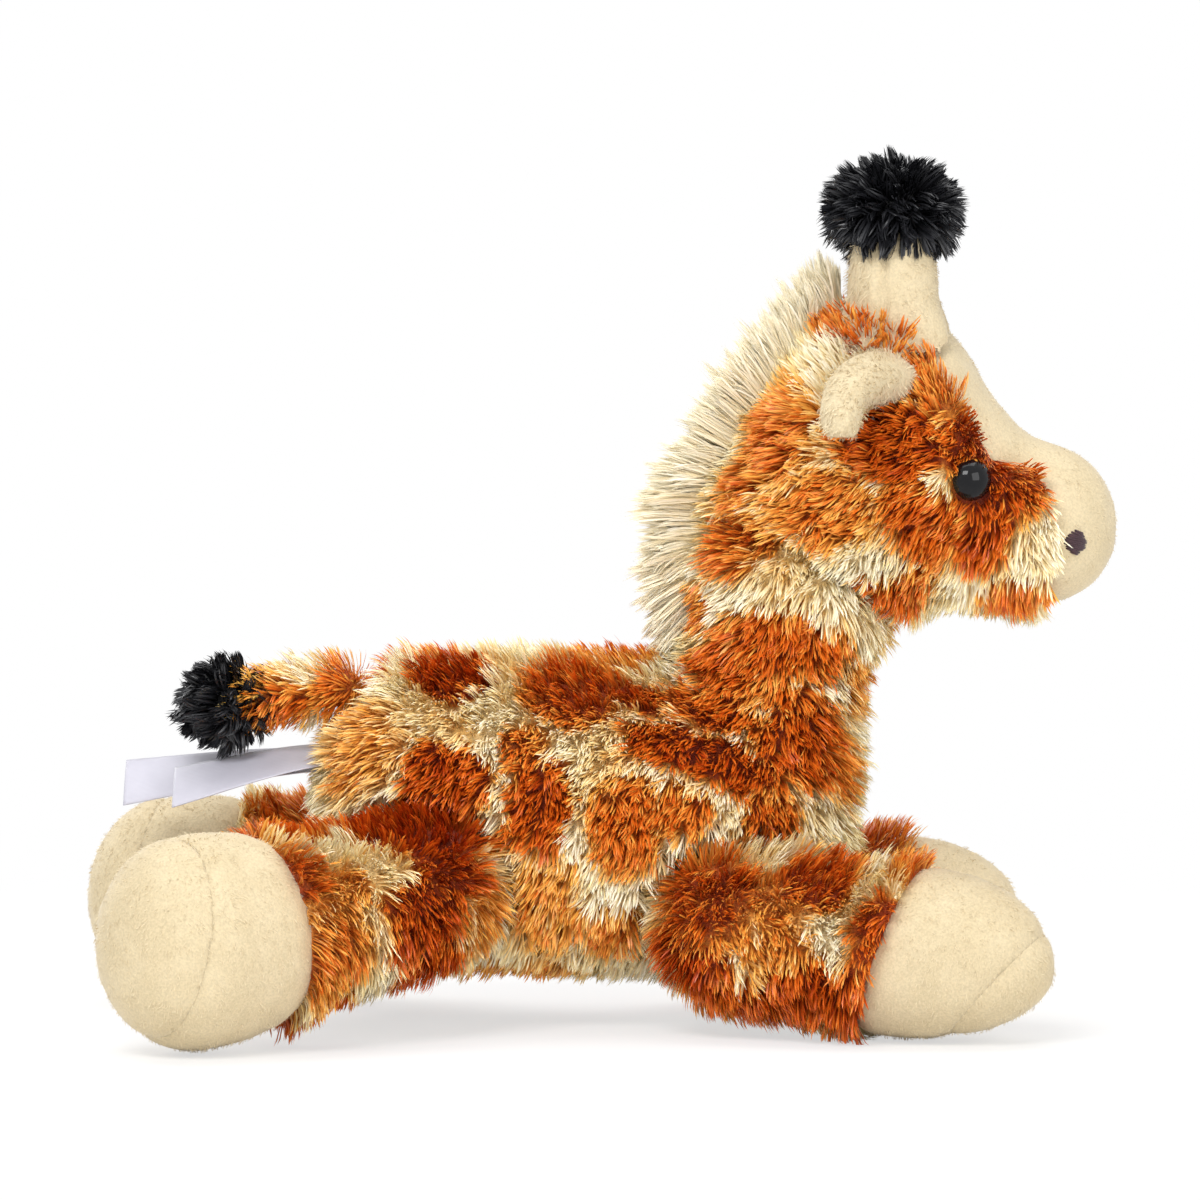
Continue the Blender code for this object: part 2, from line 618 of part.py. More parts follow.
def head_place(share, across, rise, offset):
    along = (1 - math.cos(math.pi * share)) / 2
    swell = rounding(along, HEAD_REAR_ROUND_SHARE, HEAD_NOSE_ROUND_SHARE)
    height = read_curve(HEAD_PLACE_SHARES, HEAD_HEIGHT_SHARES, along) * HEAD_HEIGHT / 2
    width = read_curve(HEAD_PLACE_SHARES, HEAD_WIDTH_SHARES, along) * HEAD_WIDTH / 2
    x, middle = head_point(along, read_curve(HEAD_PLACE_SHARES, HEAD_RISE_SHARES, along))
    x += offset * (2 * along - 1)
    return Vector((x, across * (width + offset) * swell, middle + rise * (height + offset) * swell))


def face_template(name, parent, shift):
    """The outline of the face panel seen from the side, cut right through the head."""
    outline = [Vector((*head_point(*shares), 0.0)) for shares in FACE_SEAM_SHARES]
    first, last = outline[0], outline[-1]
    past_nose = NAPE_X + HEAD_LENGTH + OVERRUN
    over_head = first.y + OVERRUN
    under_chin = last.y - OVERRUN
    outline += [Vector((last.x, under_chin, 0.0)), Vector((past_nose, under_chin, 0.0))]
    outline += [Vector((past_nose, over_head, 0.0)), Vector((first.x, over_head, 0.0))]
    model = bmesh.new()
    corners = [
        model.verts.new((point.x + shift, -HEAD_WIDTH / 2 - OVERRUN, point.y + shift)) for point in outline
    ]
    face = model.faces.new(corners)
    swept = bmesh.ops.extrude_face_region(model, geom=[face])["geom"]
    moved = [item for item in swept if isinstance(item, bmesh.types.BMVert)]
    bmesh.ops.translate(model, verts=moved, vec=(0.0, HEAD_WIDTH + 2 * OVERRUN, 0.0))
    return add_object(name, mesh_of(name, model), parent, None)


def horn_place(share, across, rise, offset):
    along = (1 - math.cos(math.pi * share)) / 2
    swell = rounding(along, HORN_ROUND_SHARE, HORN_ROUND_SHARE)
    radius = (read_curve(HORN_PLACE_SHARES, HORN_RADIUS_SHARES, along) * HORN_FOOT_RADIUS + offset) * swell
    foot_x, foot_z = head_point(*HORN_FOOT_SHARES)
    z = foot_z - offset + (HORN_LENGTH + 2 * offset) * along
    return Vector((foot_x + across * radius, -rise * radius * HORN_FLATNESS_SHARE, z))


def tuft_place(share, across, rise, offset):
    """A pompom that is fullest below its middle."""
    lean = -math.cos(math.pi * share)
    swell = math.sin(math.pi * share) * (1 - TUFT_LEAN_SHARE * lean)
    foot_x, foot_z = head_point(*HORN_FOOT_SHARES)
    x = foot_x + across * (TUFT_LENGTH / 2 + offset) * swell
    y = -rise * (TUFT_WIDTH / 2 + offset) * min(1.0, swell)
    return Vector((x, y, foot_z + TUFT_RISE + lean * (TUFT_HEIGHT / 2 + offset)))


def mane_place(share, across, rise, offset):
    """A ridge that follows the back of the head."""
    path = [head_point(*shares) for shares in MANE_PATH_SHARES]
    stations = [number / (len(path) - 1) for number in range(len(path))]
    xs, zs = [point[0] for point in path], [point[1] for point in path]
    along = (1 - math.cos(math.pi * share)) / 2

    def spine(at):
        return Vector((read_curve(stations, xs, at), 0.0, read_curve(stations, zs, at)))

    ahead = spine(min(1.0, along + 0.04)) - spine(max(0.0, along - 0.04))
    outwards = Vector((ahead.z, 0.0, -ahead.x)).normalized()
    swell = rounding(along, MANE_ROUND_SHARE, MANE_ROUND_SHARE)
    half_width = (MANE_HALF_WIDTH + offset) * swell
    half_height = (MANE_HALF_HEIGHT + offset) * swell
    return spine(along) + outwards * (rise * half_height) + Vector((0.0, across * half_width, 0.0))


def turned(name, profile, parent, finish, frame):
    """A body turned round its own Z axis from a profile of (radius, height), then set in frame."""
    model = bmesh.new()
    corners = [model.verts.new((radius, 0.0, height)) for radius, height in profile]
    for first, second in zip(corners, corners[1:] + corners[:1], strict=True):
        if first.co.x > 0 or second.co.x > 0:
            model.edges.new((first, second))
    bmesh.ops.spin(
        model,
        geom=model.verts[:] + model.edges[:],
        axis=(0.0, 0.0, 1.0),
        cent=(0.0, 0.0, 0.0),
        steps=TINY_SIDES,
        angle=2 * math.pi,
        use_merge=True,
    )
    bmesh.ops.remove_doubles(model, verts=model.verts, dist=SEAM_GAP / 100)
    bmesh.ops.transform(model, matrix=frame, verts=model.verts)
    return add_object(name, mesh_of(name, model), parent, finish)


def eye_profile(offset, with_washer):
    """Dome, flange edge and stem, from the dome's top round to the stem's end."""
    steps = 5
    radius, height = EYE_RADIUS + offset, EYE_HEIGHT + offset
    dome = [
        (radius * math.sin(step / steps * math.pi / 2), height * math.cos(step / steps * math.pi / 2))
        for step in range(steps + 1)
    ]
    under, end = -EYE_SINK - offset, -STEM_LENGTH - offset
    stem, rim = STEM_RADIUS + offset, WASHER_RADIUS + offset
    front, back = WASHER_FRONT + offset, WASHER_FRONT - WASHER_THICKNESS - offset
    washer = [(stem, front), (rim, front), (rim, back), (stem, back)] if with_washer else []
    return [*dome, (radius, under), (stem, under), *washer, (stem, end), (0.0, end)]


def washer_profile():
    """A disc with a hole that the stem passes through, behind the cover."""
    back = WASHER_FRONT - WASHER_THICKNESS
    bore = STEM_RADIUS + SEAM_GAP
    return [(bore, WASHER_FRONT), (WASHER_RADIUS, WASHER_FRONT), (WASHER_RADIUS, back), (bore, back)]


def head_side(x, z, side):
    """How far sideways the head's surface is at a place on its side."""
    along = (x - NAPE_X) / HEAD_LENGTH
    swell = rounding(along, HEAD_REAR_ROUND_SHARE, HEAD_NOSE_ROUND_SHARE)
    height = read_curve(HEAD_PLACE_SHARES, HEAD_HEIGHT_SHARES, along) * HEAD_HEIGHT / 2 * swell
    width = read_curve(HEAD_PLACE_SHARES, HEAD_WIDTH_SHARES, along) * HEAD_WIDTH / 2 * swell
    middle = head_point(along, read_curve(HEAD_PLACE_SHARES, HEAD_RISE_SHARES, along))[1]
    lift = (z - middle) / height
    return side * width * math.sqrt(max(0.0, 1 - lift * lift))


def outward_frame(location, side, turn):
    """A frame whose Z axis points out of the head, turned towards the nose."""
    direction = Vector((math.sin(math.radians(turn)), side * math.cos(math.radians(turn)), 0.0))
    return Matrix.Translation(location) @ direction.to_track_quat("Z", "Y").to_matrix().to_4x4()


def make_eye(side, label, parent):
    """One eye and its washer. It returns the seat that the cover and the filling are cut by."""
    x, z = head_point(*EYE_SHARES)
    surface = Vector((x, head_side(x, z, side), z))
    frame = outward_frame(surface, side, EYE_TURN)
    turned(f"eye_{label}", eye_profile(0.0, False), parent, EYE_BLACK, frame)
    turned(f"eye_washer_{label}", washer_profile(), parent, WHITE_PLASTIC, frame)
    return turned(f"eye_seat_{label}", eye_profile(SEAM_GAP, True), parent, None, frame)


def make_nostril(side, label, parent, skin):
    """A satin-stitched oval that lies on the face panel."""
    x, z = head_point(*NOSTRIL_SHARES)
    surface = Vector((x, head_side(x, z, side), z))
    size = Matrix.Diagonal((NOSTRIL_HALF_HEIGHT, NOSTRIL_HALF_LENGTH, NOSTRIL_THICKNESS, 1.0))
    model = bmesh.new()
    bmesh.ops.create_uvsphere(model, u_segments=TINY_SIDES, v_segments=TINY_RINGS, radius=1.0)
    frame = outward_frame(surface, side, NOSTRIL_TURN)
    bmesh.ops.transform(model, matrix=frame @ size, verts=model.verts)
    nostril = add_object(f"nostril_{label}", mesh_of(f"nostril_{label}", model), parent, THREAD)
    cut(nostril, skin)


def make_ear(side, label, head_pivot):
    """A cupped leaf that points sideways and a little back. It returns the cutters of its pocket."""
    x, z = head_point(*EAR_ROOT_SHARES)
    pivot = empty_at(f"ear_{label}_joint", (x, side * EAR_SPREAD, z))
    pivot.parent = head_pivot
    ends = (EAR_HALF_WIDTH, EAR_HALF_THICKNESS)
    form = limb_place(
        EAR_REACH, EAR_ROOT_RADIUS, ends, EAR_PLACE_SHARES, EAR_SPREAD_SHARES, EAR_DOME_SHARE, cup=EAR_CUP
    )
    heading = Matrix.Rotation(math.radians(side * (90.0 + EAR_SWEEP)), 3, "Z")
    raised = Matrix.Rotation(-math.radians(EAR_RAISE), 3, "Y")
    roll = Matrix.Rotation(math.radians(side * EAR_TILT), 3, "X")
    leaf = stuffed(f"ear_{label}", form, pivot, CREAM, sides=TINY_SIDES, rings=LIMB_RINGS)
    rooms = pockets(f"ear_{label}", form, pivot, -EAR_FLAP_UP, -EAR_FLAP_DOWN, "Y")
    for item in (leaf, *rooms):
        item.rotation_euler = (heading @ raised @ roll).to_euler()
    return rooms


def make_head(pivot, neck_pocket):
    """The head's covers, filling, horns, tufts, ears, eyes, nostrils and mane."""
    hollow = stuffed("head_hollow", head_place, pivot, offset=-COVER_WALL, sides=HOLLOW_SIDES, rings=HOLLOW_RINGS)
    skin = stuffed("head_skin", head_place, pivot, offset=SEAM_GAP)
    ears, seats = [], []
    for side, label in ((-1, "right"), (1, "left")):
        ears.append(make_ear(side, label, pivot))
        seats.append(make_eye(side, label, pivot))
        make_nostril(side, label, pivot, skin)

    cover = stuffed("head_cover", head_place, pivot, FUR)
    template = face_template("face_opening", pivot, 0.0)
    cut(cover, hollow, template, neck_pocket[0], *(ear[0] for ear in ears), *seats)
    panel = stuffed("face_panel", head_place, pivot, CREAM)
    cut(panel, hollow)
    cut(panel, face_template("face_outline", pivot, SEAM_GAP), operation="INTERSECT")

    filling = stuffed(
        "head_filling", head_place, pivot, FIBRE, -COVER_WALL - SEAM_GAP, sides=HOLLOW_SIDES, rings=HOLLOW_RINGS
    )
    cut(filling, neck_pocket[1], *(ear[1] for ear in ears), *seats)

    for side, label in ((-1, "right"), (1, "left")):
        horn = stuffed(f"horn_{label}", horn_place, pivot, CREAM, sides=SMALL_SIDES, rings=SMALL_RINGS)
        root = stuffed(f"horn_{label}_seat", horn_place, pivot, offset=SEAM_GAP, sides=SMALL_SIDES, rings=SMALL_RINGS)
        tuft = stuffed(f"horn_{label}_tuft", tuft_place, pivot, BLACK, sides=SMALL_SIDES, rings=SMALL_RINGS)
        for item in (horn, root, tuft):
            item.location = (0.0, side * HORN_SPREAD, 0.0)
        cut(horn, skin)
        cut(tuft, root)

    mane = stuffed("mane", mane_place, pivot, MANE_PILE, sides=SMALL_SIDES, rings=LIMB_RINGS)
    cut(mane, skin, neck_pocket[0])


def make_torso(leg_pockets, tail_pocket, neck_pivot):
    """The torso and neck covers, their shared filling and the pellet pouch."""
    midplane = empty_at("torso_frame", (0.0, MIDPLANE_Y, 0.0))
    inside = -COVER_WALL - SEAM_GAP
    hollow = stuffed("torso_hollow", torso_place, midplane, offset=-COVER_WALL, sides=HOLLOW_SIDES, rings=HOLLOW_RINGS)
    skin = stuffed("torso_skin", torso_place, midplane, offset=SEAM_GAP, rings=TORSO_RINGS)
    neck_hollow = neck_form("neck_hollow", neck_pivot, -COVER_WALL)
    torso = stuffed("torso_cover", torso_place, midplane, FUR, rings=TORSO_RINGS)
    cut(torso, hollow, neck_hollow, tail_pocket[0], *(leg[0] for leg in leg_pockets))

    neck = stuffed("neck_cover", NECK_PLACE, neck_pivot, FUR, sides=BODY_SIDES, rings=LIMB_RINGS)
    neck.rotation_euler = (0.0, math.radians(90.0 + NECK_LEAN), 0.0)
    cut(neck, neck_hollow, skin)

    pouch = stuffed("belly_pellet_pouch", pouch_place, midplane, POUCH_CLOTH, sides=SMALL_SIDES, rings=SMALL_RINGS)
    room = stuffed("pouch_room", pouch_place, midplane, offset=SEAM_GAP, sides=SMALL_SIDES, rings=SMALL_RINGS)
    lining = stuffed("torso_lining", torso_place, midplane, offset=inside, sides=HOLLOW_SIDES, rings=HOLLOW_RINGS)
    cut(pouch, lining, operation="INTERSECT")
    cut(pouch, *(leg[1] for leg in leg_pockets))

    filling = stuffed("torso_filling", torso_place, midplane, FIBRE, inside, sides=HOLLOW_SIDES, rings=HOLLOW_RINGS)
    cut(filling, neck_form("neck_core", neck_pivot, inside), operation="UNION")
    cut(filling, room, tail_pocket[1], *(leg[1] for leg in leg_pockets))
    return skin


def pouch_place(share, across, rise, offset):
    angle = math.pi * share
    x = POUCH_X - math.cos(angle) * (POUCH_LENGTH / 2 + offset)
    y = across * math.sin(angle) * (POUCH_WIDTH / 2 + offset)
    return Vector((x, y, POUCH_Z + rise * math.sin(angle) * (POUCH_HEIGHT / 2 + offset)))


def main():
    clear_scene()
    neck_pivot = empty_at("neck_ball", (NECK_BALL_X, MIDPLANE_Y, NECK_BALL_Z))
    head_pivot = empty_at("head_joint", (NECK_BALL_X, MIDPLANE_Y, NECK_BALL_Z), HEAD_TURN)
    torso_skin = make_torso(make_legs(), make_tail(), neck_pivot)
    long_label = (LONG_LABEL_REACH, LONG_LABEL_Z, LONG_LABEL_SAG, LONG_LABEL_SHIFT)
    short_label = (SHORT_LABEL_REACH, SHORT_LABEL_Z, SHORT_LABEL_SAG, SHORT_LABEL_SHIFT)
    make_label("care_label_long", *long_label, torso_skin)
    make_label("care_label_short", *short_label, torso_skin)
    rooms = pockets("neck", NECK_PLACE, neck_pivot, -HEAD_NOD_DOWN, -HEAD_NOD_UP, "Y")
    for room in rooms:
        room.rotation_euler = (0.0, math.radians(90.0 + NECK_LEAN), 0.0)
    make_head(head_pivot, rooms)


main()
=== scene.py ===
import json
import math
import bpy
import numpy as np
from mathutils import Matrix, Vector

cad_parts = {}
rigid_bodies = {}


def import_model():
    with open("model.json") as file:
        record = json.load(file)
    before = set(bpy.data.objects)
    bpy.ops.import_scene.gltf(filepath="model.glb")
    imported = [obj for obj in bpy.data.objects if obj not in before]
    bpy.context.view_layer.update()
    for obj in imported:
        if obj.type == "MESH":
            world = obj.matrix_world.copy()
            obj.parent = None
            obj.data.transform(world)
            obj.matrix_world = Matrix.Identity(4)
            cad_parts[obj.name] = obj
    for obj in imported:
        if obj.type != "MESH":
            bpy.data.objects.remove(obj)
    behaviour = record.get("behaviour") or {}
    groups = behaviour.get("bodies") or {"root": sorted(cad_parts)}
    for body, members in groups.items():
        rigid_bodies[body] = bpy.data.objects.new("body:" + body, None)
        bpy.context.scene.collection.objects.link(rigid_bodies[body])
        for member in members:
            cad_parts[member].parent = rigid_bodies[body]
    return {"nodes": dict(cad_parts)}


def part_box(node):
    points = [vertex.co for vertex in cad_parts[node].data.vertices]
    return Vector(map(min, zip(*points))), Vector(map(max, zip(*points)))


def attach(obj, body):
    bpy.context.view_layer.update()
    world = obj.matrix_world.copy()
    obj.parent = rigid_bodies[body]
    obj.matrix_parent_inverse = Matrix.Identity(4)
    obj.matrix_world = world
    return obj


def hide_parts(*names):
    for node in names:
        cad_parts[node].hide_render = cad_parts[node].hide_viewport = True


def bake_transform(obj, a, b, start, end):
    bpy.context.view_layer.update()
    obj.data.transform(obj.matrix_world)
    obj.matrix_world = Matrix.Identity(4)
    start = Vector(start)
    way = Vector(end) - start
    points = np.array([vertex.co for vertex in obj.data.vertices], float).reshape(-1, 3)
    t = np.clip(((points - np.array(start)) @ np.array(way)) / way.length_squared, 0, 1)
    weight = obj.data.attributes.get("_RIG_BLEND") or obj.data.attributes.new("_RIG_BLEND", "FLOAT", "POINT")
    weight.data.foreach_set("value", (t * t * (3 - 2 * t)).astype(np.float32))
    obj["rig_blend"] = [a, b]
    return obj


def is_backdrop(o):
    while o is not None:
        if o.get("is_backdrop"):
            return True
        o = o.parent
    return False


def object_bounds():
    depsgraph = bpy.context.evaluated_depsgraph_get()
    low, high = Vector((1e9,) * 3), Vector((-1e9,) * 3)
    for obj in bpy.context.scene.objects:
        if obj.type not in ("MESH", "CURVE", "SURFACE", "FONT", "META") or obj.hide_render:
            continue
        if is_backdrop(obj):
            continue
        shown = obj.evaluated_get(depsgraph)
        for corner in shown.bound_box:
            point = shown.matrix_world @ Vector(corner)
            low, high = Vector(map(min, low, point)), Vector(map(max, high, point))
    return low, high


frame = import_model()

import zlib

import bmesh
import bpy
import numpy as np
from mathutils import Matrix, Vector, kdtree, noise
from mathutils.bvhtree import BVHTree

bpy.context.view_layer.update()
nodes = frame["nodes"]
MM = 0.001
MIDPLANE = (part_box("torso_cover")[0].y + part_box("torso_cover")[1].y) / 2

# Torso and neck covers
# One bag of printed long-pile polyester plush, sewn inside out, turned and stuffed with fibre. The backing
# cloth is a skin some 3 mm below the tips of the pile, and the fibres stand on it in combed tufts.
# The burnt orange patches are air-brushed on cream pile, so that the cream shows between them.

PILE_DEPTH = 3.4 * MM  # from the envelope of the pile down to its backing
BACKING = 0.7 * MM
# Root colours of the tawny pile. They are darker than the tips partly from the dye and partly as painted
# shade deep in the pile.
TAWNY_ROOTS = (
    (0.0, (0.19, 0.012, 0.001)),
    (0.25, (0.43, 0.062, 0.004)),
    (0.5, (0.77, 0.30, 0.034)),
    (0.75, (0.94, 0.64, 0.23)),
    (1.0, (1.0, 0.85, 0.53)),
)


class Wire:
    """The output of one node, so that sums on it can be written as sums."""

    def __init__(self, wiring, socket):
        self.wiring, self.socket = wiring, socket

    def calculate(self, operation, first, second):
        return self.wiring.node("ShaderNodeMath", {"operation": operation}, {0: first, 1: second})

    def __add__(self, other):
        return self.calculate("ADD", self, other)

    def __rsub__(self, other):
        return self.calculate("SUBTRACT", other, self)

    def __mul__(self, other):
        return self.calculate("MULTIPLY", self, other)

    __radd__ = __add__


class Wiring:
    """A node tree, with short ways to add what its sockets are fed with."""

    def __init__(self, tree):
        self.tree = tree

    def node(self, kind, settings=None, sockets=None, output=0):
        made = self.tree.nodes.new(kind)
        for key, value in (settings or {}).items():
            if key == "stops":
                ramp = made.color_ramp.elements
                while len(ramp) < len(value):
                    ramp.new(0.5)
                for stop, (place, colour) in zip(ramp, value, strict=True):
                    stop.position, stop.color = place, (*colour, 1.0)
            else:
                setattr(made, key, value)
        for key, value in (sockets or {}).items():
            self.feed(made.inputs[key], value)
        return Wire(self, made.outputs[output])

    def feed(self, socket, value):
        if isinstance(value, Wire):
            self.tree.links.new(value.socket, socket)
        else:
            socket.default_value = value

    def position(self):
        """Where a point is on the object."""
        return self.node("ShaderNodeTexCoord", output="Object")

    def grain(self, size, detail=2.0):
        """Cloudy noise whose lumps are about size metres across."""
        sockets = {"Vector": self.position(), "Scale": 1 / size, "Detail": detail}
        return self.node("ShaderNodeTexNoise", {}, sockets)

    def mix(self, share, first, second, blend="MIX"):
        settings = {"data_type": "RGBA", "blend_type": blend}
        return self.node("ShaderNodeMix", settings, {0: share, 6: first, 7: second}, 2)

    def ramp(self, share, stops):
        return self.node("ShaderNodeValToRGB", {"stops": stops}, {0: share})

    def attribute(self, name):
        """A number that the mesh keeps on each of its corners."""
        return self.node("ShaderNodeAttribute", {"attribute_name": name}, output="Fac")

    def bump(self, height, depth, strength=1.0):
        sockets = {"Height": height, "Distance": depth, "Strength": strength}
        return self.node("ShaderNodeBump", {}, sockets)


class Finish(Wiring):
    """A material on the Principled shader, whose fixed sockets are given by name."""

    def __init__(self, name, **fixed):
        self.material = bpy.data.materials.new(name)
        self.material.use_nodes = True
        super().__init__(self.material.node_tree)
        self.shader = self.tree.nodes["Principled BSDF"]
        self.paint(**fixed)

    def paint(self, **sockets):
        for socket, value in sockets.items():
            self.feed(self.shader.inputs[socket.replace("_", " ")], value)
        return self.material


# Painted shade: the backing's colour is darkened in patches to stand for the shade between the feet of the
# pile.
PAINTED_SHADE_AMONG_FEET = ((0.3, (0.45, 0.4, 0.36)), (0.7, (1.0, 1.0, 1.0)))  # between the feet of the pile and on them


def backing_finish(name, roots):
    """The knitted backing with the dense feet of the pile on it, and painted shade between the feet."""
    finish = Finish(name, Roughness=0.85)
    root = finish.ramp(finish.attribute("tone"), roots)
    feet = finish.grain(0.7 * MM)
    # The same grain raises the feet and paints the shade between them.
    colour = finish.mix(1.0, root, finish.ramp(feet, PAINTED_SHADE_AMONG_FEET), "MULTIPLY")
    return finish.paint(Base_Color=colour, Normal=finish.bump(feet, 0.5 * MM))


def chance(name):
    """Numbers that look random and are the same in every run."""
    return np.random.default_rng(zlib.crc32(name.encode()))


def link(name, mesh):
    piece = bpy.data.objects.new(name, mesh)
    bpy.context.scene.collection.objects.link(piece)
    return piece


def finished(piece):
    """The piece's mesh with its modifiers applied, in place of its old one."""
    evaluated = piece.evaluated_get(bpy.context.evaluated_depsgraph_get())
    mesh = bpy.data.meshes.new_from_object(evaluated)
    piece.modifiers.clear()
    piece.data = mesh
    return piece


def corners(mesh):
    places = np.empty(len(mesh.vertices) * 3)
    mesh.vertices.foreach_get("co", places)
    return places.reshape(-1, 3)


def outward(mesh):
    ways = np.empty(len(mesh.vertices) * 3)
    mesh.vertices.foreach_get("normal", ways)
    return ways.reshape(-1, 3)


def place(mesh, places):
    mesh.vertices.foreach_set("co", places.ravel())
    mesh.update()


def mesh_from(model, name, smooth=False):
    """The finished bmesh as a mesh of this name."""
    mesh = bpy.data.meshes.new(name)
    model.to_mesh(mesh)
    model.free()
    mesh.polygons.foreach_set("use_smooth", [smooth] * len(mesh.polygons))
    return mesh


def eased(mesh, values, rounds):
    """Values on the corners, evened out between neighbours."""
    ends = np.empty(len(mesh.edges) * 2, int)
    mesh.edges.foreach_get("vertices", ends)
    first, second = ends.reshape(-1, 2).T
    count = np.maximum(np.bincount(ends, minlength=len(values)), 1)
    count = count.reshape(-1, *[1] * (values.ndim - 1))
    for _ in range(rounds):
        total = np.zeros_like(values)
        np.add.at(total, first, values[second])
        np.add.at(total, second, values[first])
        values = (values + total / count) / 2
    return values


def whole_form(name, *parts, grid):
    """The stuffed shape of these CAD solids with nothing left inside it."""
    model = bmesh.new()
    for part in parts:
        model.from_mesh(nodes[part].data)
    bmesh.ops.remove_doubles(model, verts=model.verts, dist=0.01 * MM)
    form = link(name, mesh_from(model, name))
    remesh = form.modifiers.new("even", "REMESH")
    remesh.mode, remesh.voxel_size = "VOXEL", grid
    finished(form)
    model = bmesh.new()
    model.from_mesh(form.data)
    islands, seen = [], set()
    for start in model.verts:
        if start in seen:
            continue
        island, open_ends = [], [start]
        seen.add(start)
        while open_ends:
            vertex = open_ends.pop()
            island.append(vertex)
            for edge in vertex.link_edges:
                other = edge.other_vert(vertex)
                if other not in seen:
                    seen.add(other)
                    open_ends.append(other)
        islands.append(island)
    islands.sort(key=len)
    inner = [vertex for island in islands[:-1] for vertex in island]
    bmesh.ops.delete(model, geom=inner, context="VERTS")
    all_ways = {"use_axis_x": True, "use_axis_y": True, "use_axis_z": True}
    for _ in range(2):
        bmesh.ops.smooth_vert(model, verts=model.verts, factor=0.5, **all_ways)
    model.to_mesh(form.data)
    model.free()
    return form


THICKEST_INSIDE = 4 * MM  # the deepest that a place is still told to be inside a hollow solid


def depth_in(part, places):
    """How far outside the CAD solid each place is, and below zero inside it."""
    tree = BVHTree.FromObject(nodes[part], bpy.context.evaluated_depsgraph_get())
    depths = np.empty(len(places))
    for number, point in enumerate(places):
        nearest, _, _, distance = tree.find_nearest(Vector(point))
        way = sum((face[1] for face in tree.find_nearest_range(nearest, 0.01 * MM)), Vector())
        inside = (Vector(point) - nearest).dot(way) < 0 and distance < THICKEST_INSIDE
        depths[number] = -distance if inside else distance
    return depths


def past_seam(form, part, *others):
    """On each corner, how far it is past the seam of a panel, and below zero on the panel itself."""
    places = corners(form.data)
    outside = np.min([depth_in(other, places) for other in others], axis=0)
    return eased(form.data, (depth_in(part, places) - outside) / 2, 6)


FILLING_PRESSURE = 4.0
SKIN_MASS = 0.05
SETTLING_FRAMES = 20


def stuff(form, inset, swell):
    """Draws the skin in below its pile and lets the filling press it out again, by at most swell."""
    skin = form.data
    place(skin, corners(skin) - outward(skin) * np.reshape(inset, (-1, 1)))
    slack = corners(skin)
    cloth = form.modifiers.new("filling", "CLOTH")
    cloth.settings.quality = 4
    cloth.settings.mass = SKIN_MASS
    cloth.settings.use_pressure = True
    cloth.settings.uniform_pressure_force = FILLING_PRESSURE
    cloth.settings.effector_weights.gravity = 0.0
    cloth.collision_settings.use_collision = False
    cloth.point_cache.frame_start, cloth.point_cache.frame_end = 1, SETTLING_FRAMES
    for step in range(1, SETTLING_FRAMES + 1):
        bpy.context.scene.frame_set(step)
    finished(form)
    bpy.context.scene.frame_set(1)
    moved = corners(form.data) - slack
    reach = np.linalg.norm(moved, axis=1, keepdims=True)
    moved *= np.minimum(1.0, swell / np.maximum(reach, 1e-9))
    place(form.data, slack + eased(form.data, moved, 1))
    finer = form.modifiers.new("finer", "SUBSURF")
    finer.levels = finer.render_levels = 1
    return finished(form)


def smoothstep(low, high, values):
    share = np.clip((values - low) / (high - low), 0.0, 1.0)
    return share * share * (3 - 2 * share)


def depth_near(gap, low, high):
    """How deep the backing lies below the tips: less where another cover is near, so that the two meet."""
    return PILE_DEPTH * (0.45 + 0.55 * smoothstep(low, high, gap))


def mottle(places, size, seed):
    """Soft noise from about -1 to 1 whose lumps are size metres across. Each seed gives another cloud."""
    apart = Vector((seed * 7.3, seed * 3.1, seed * 5.7))
    return np.array([noise.noise(Vector(point) / size + apart) for point in places]) * 1.6


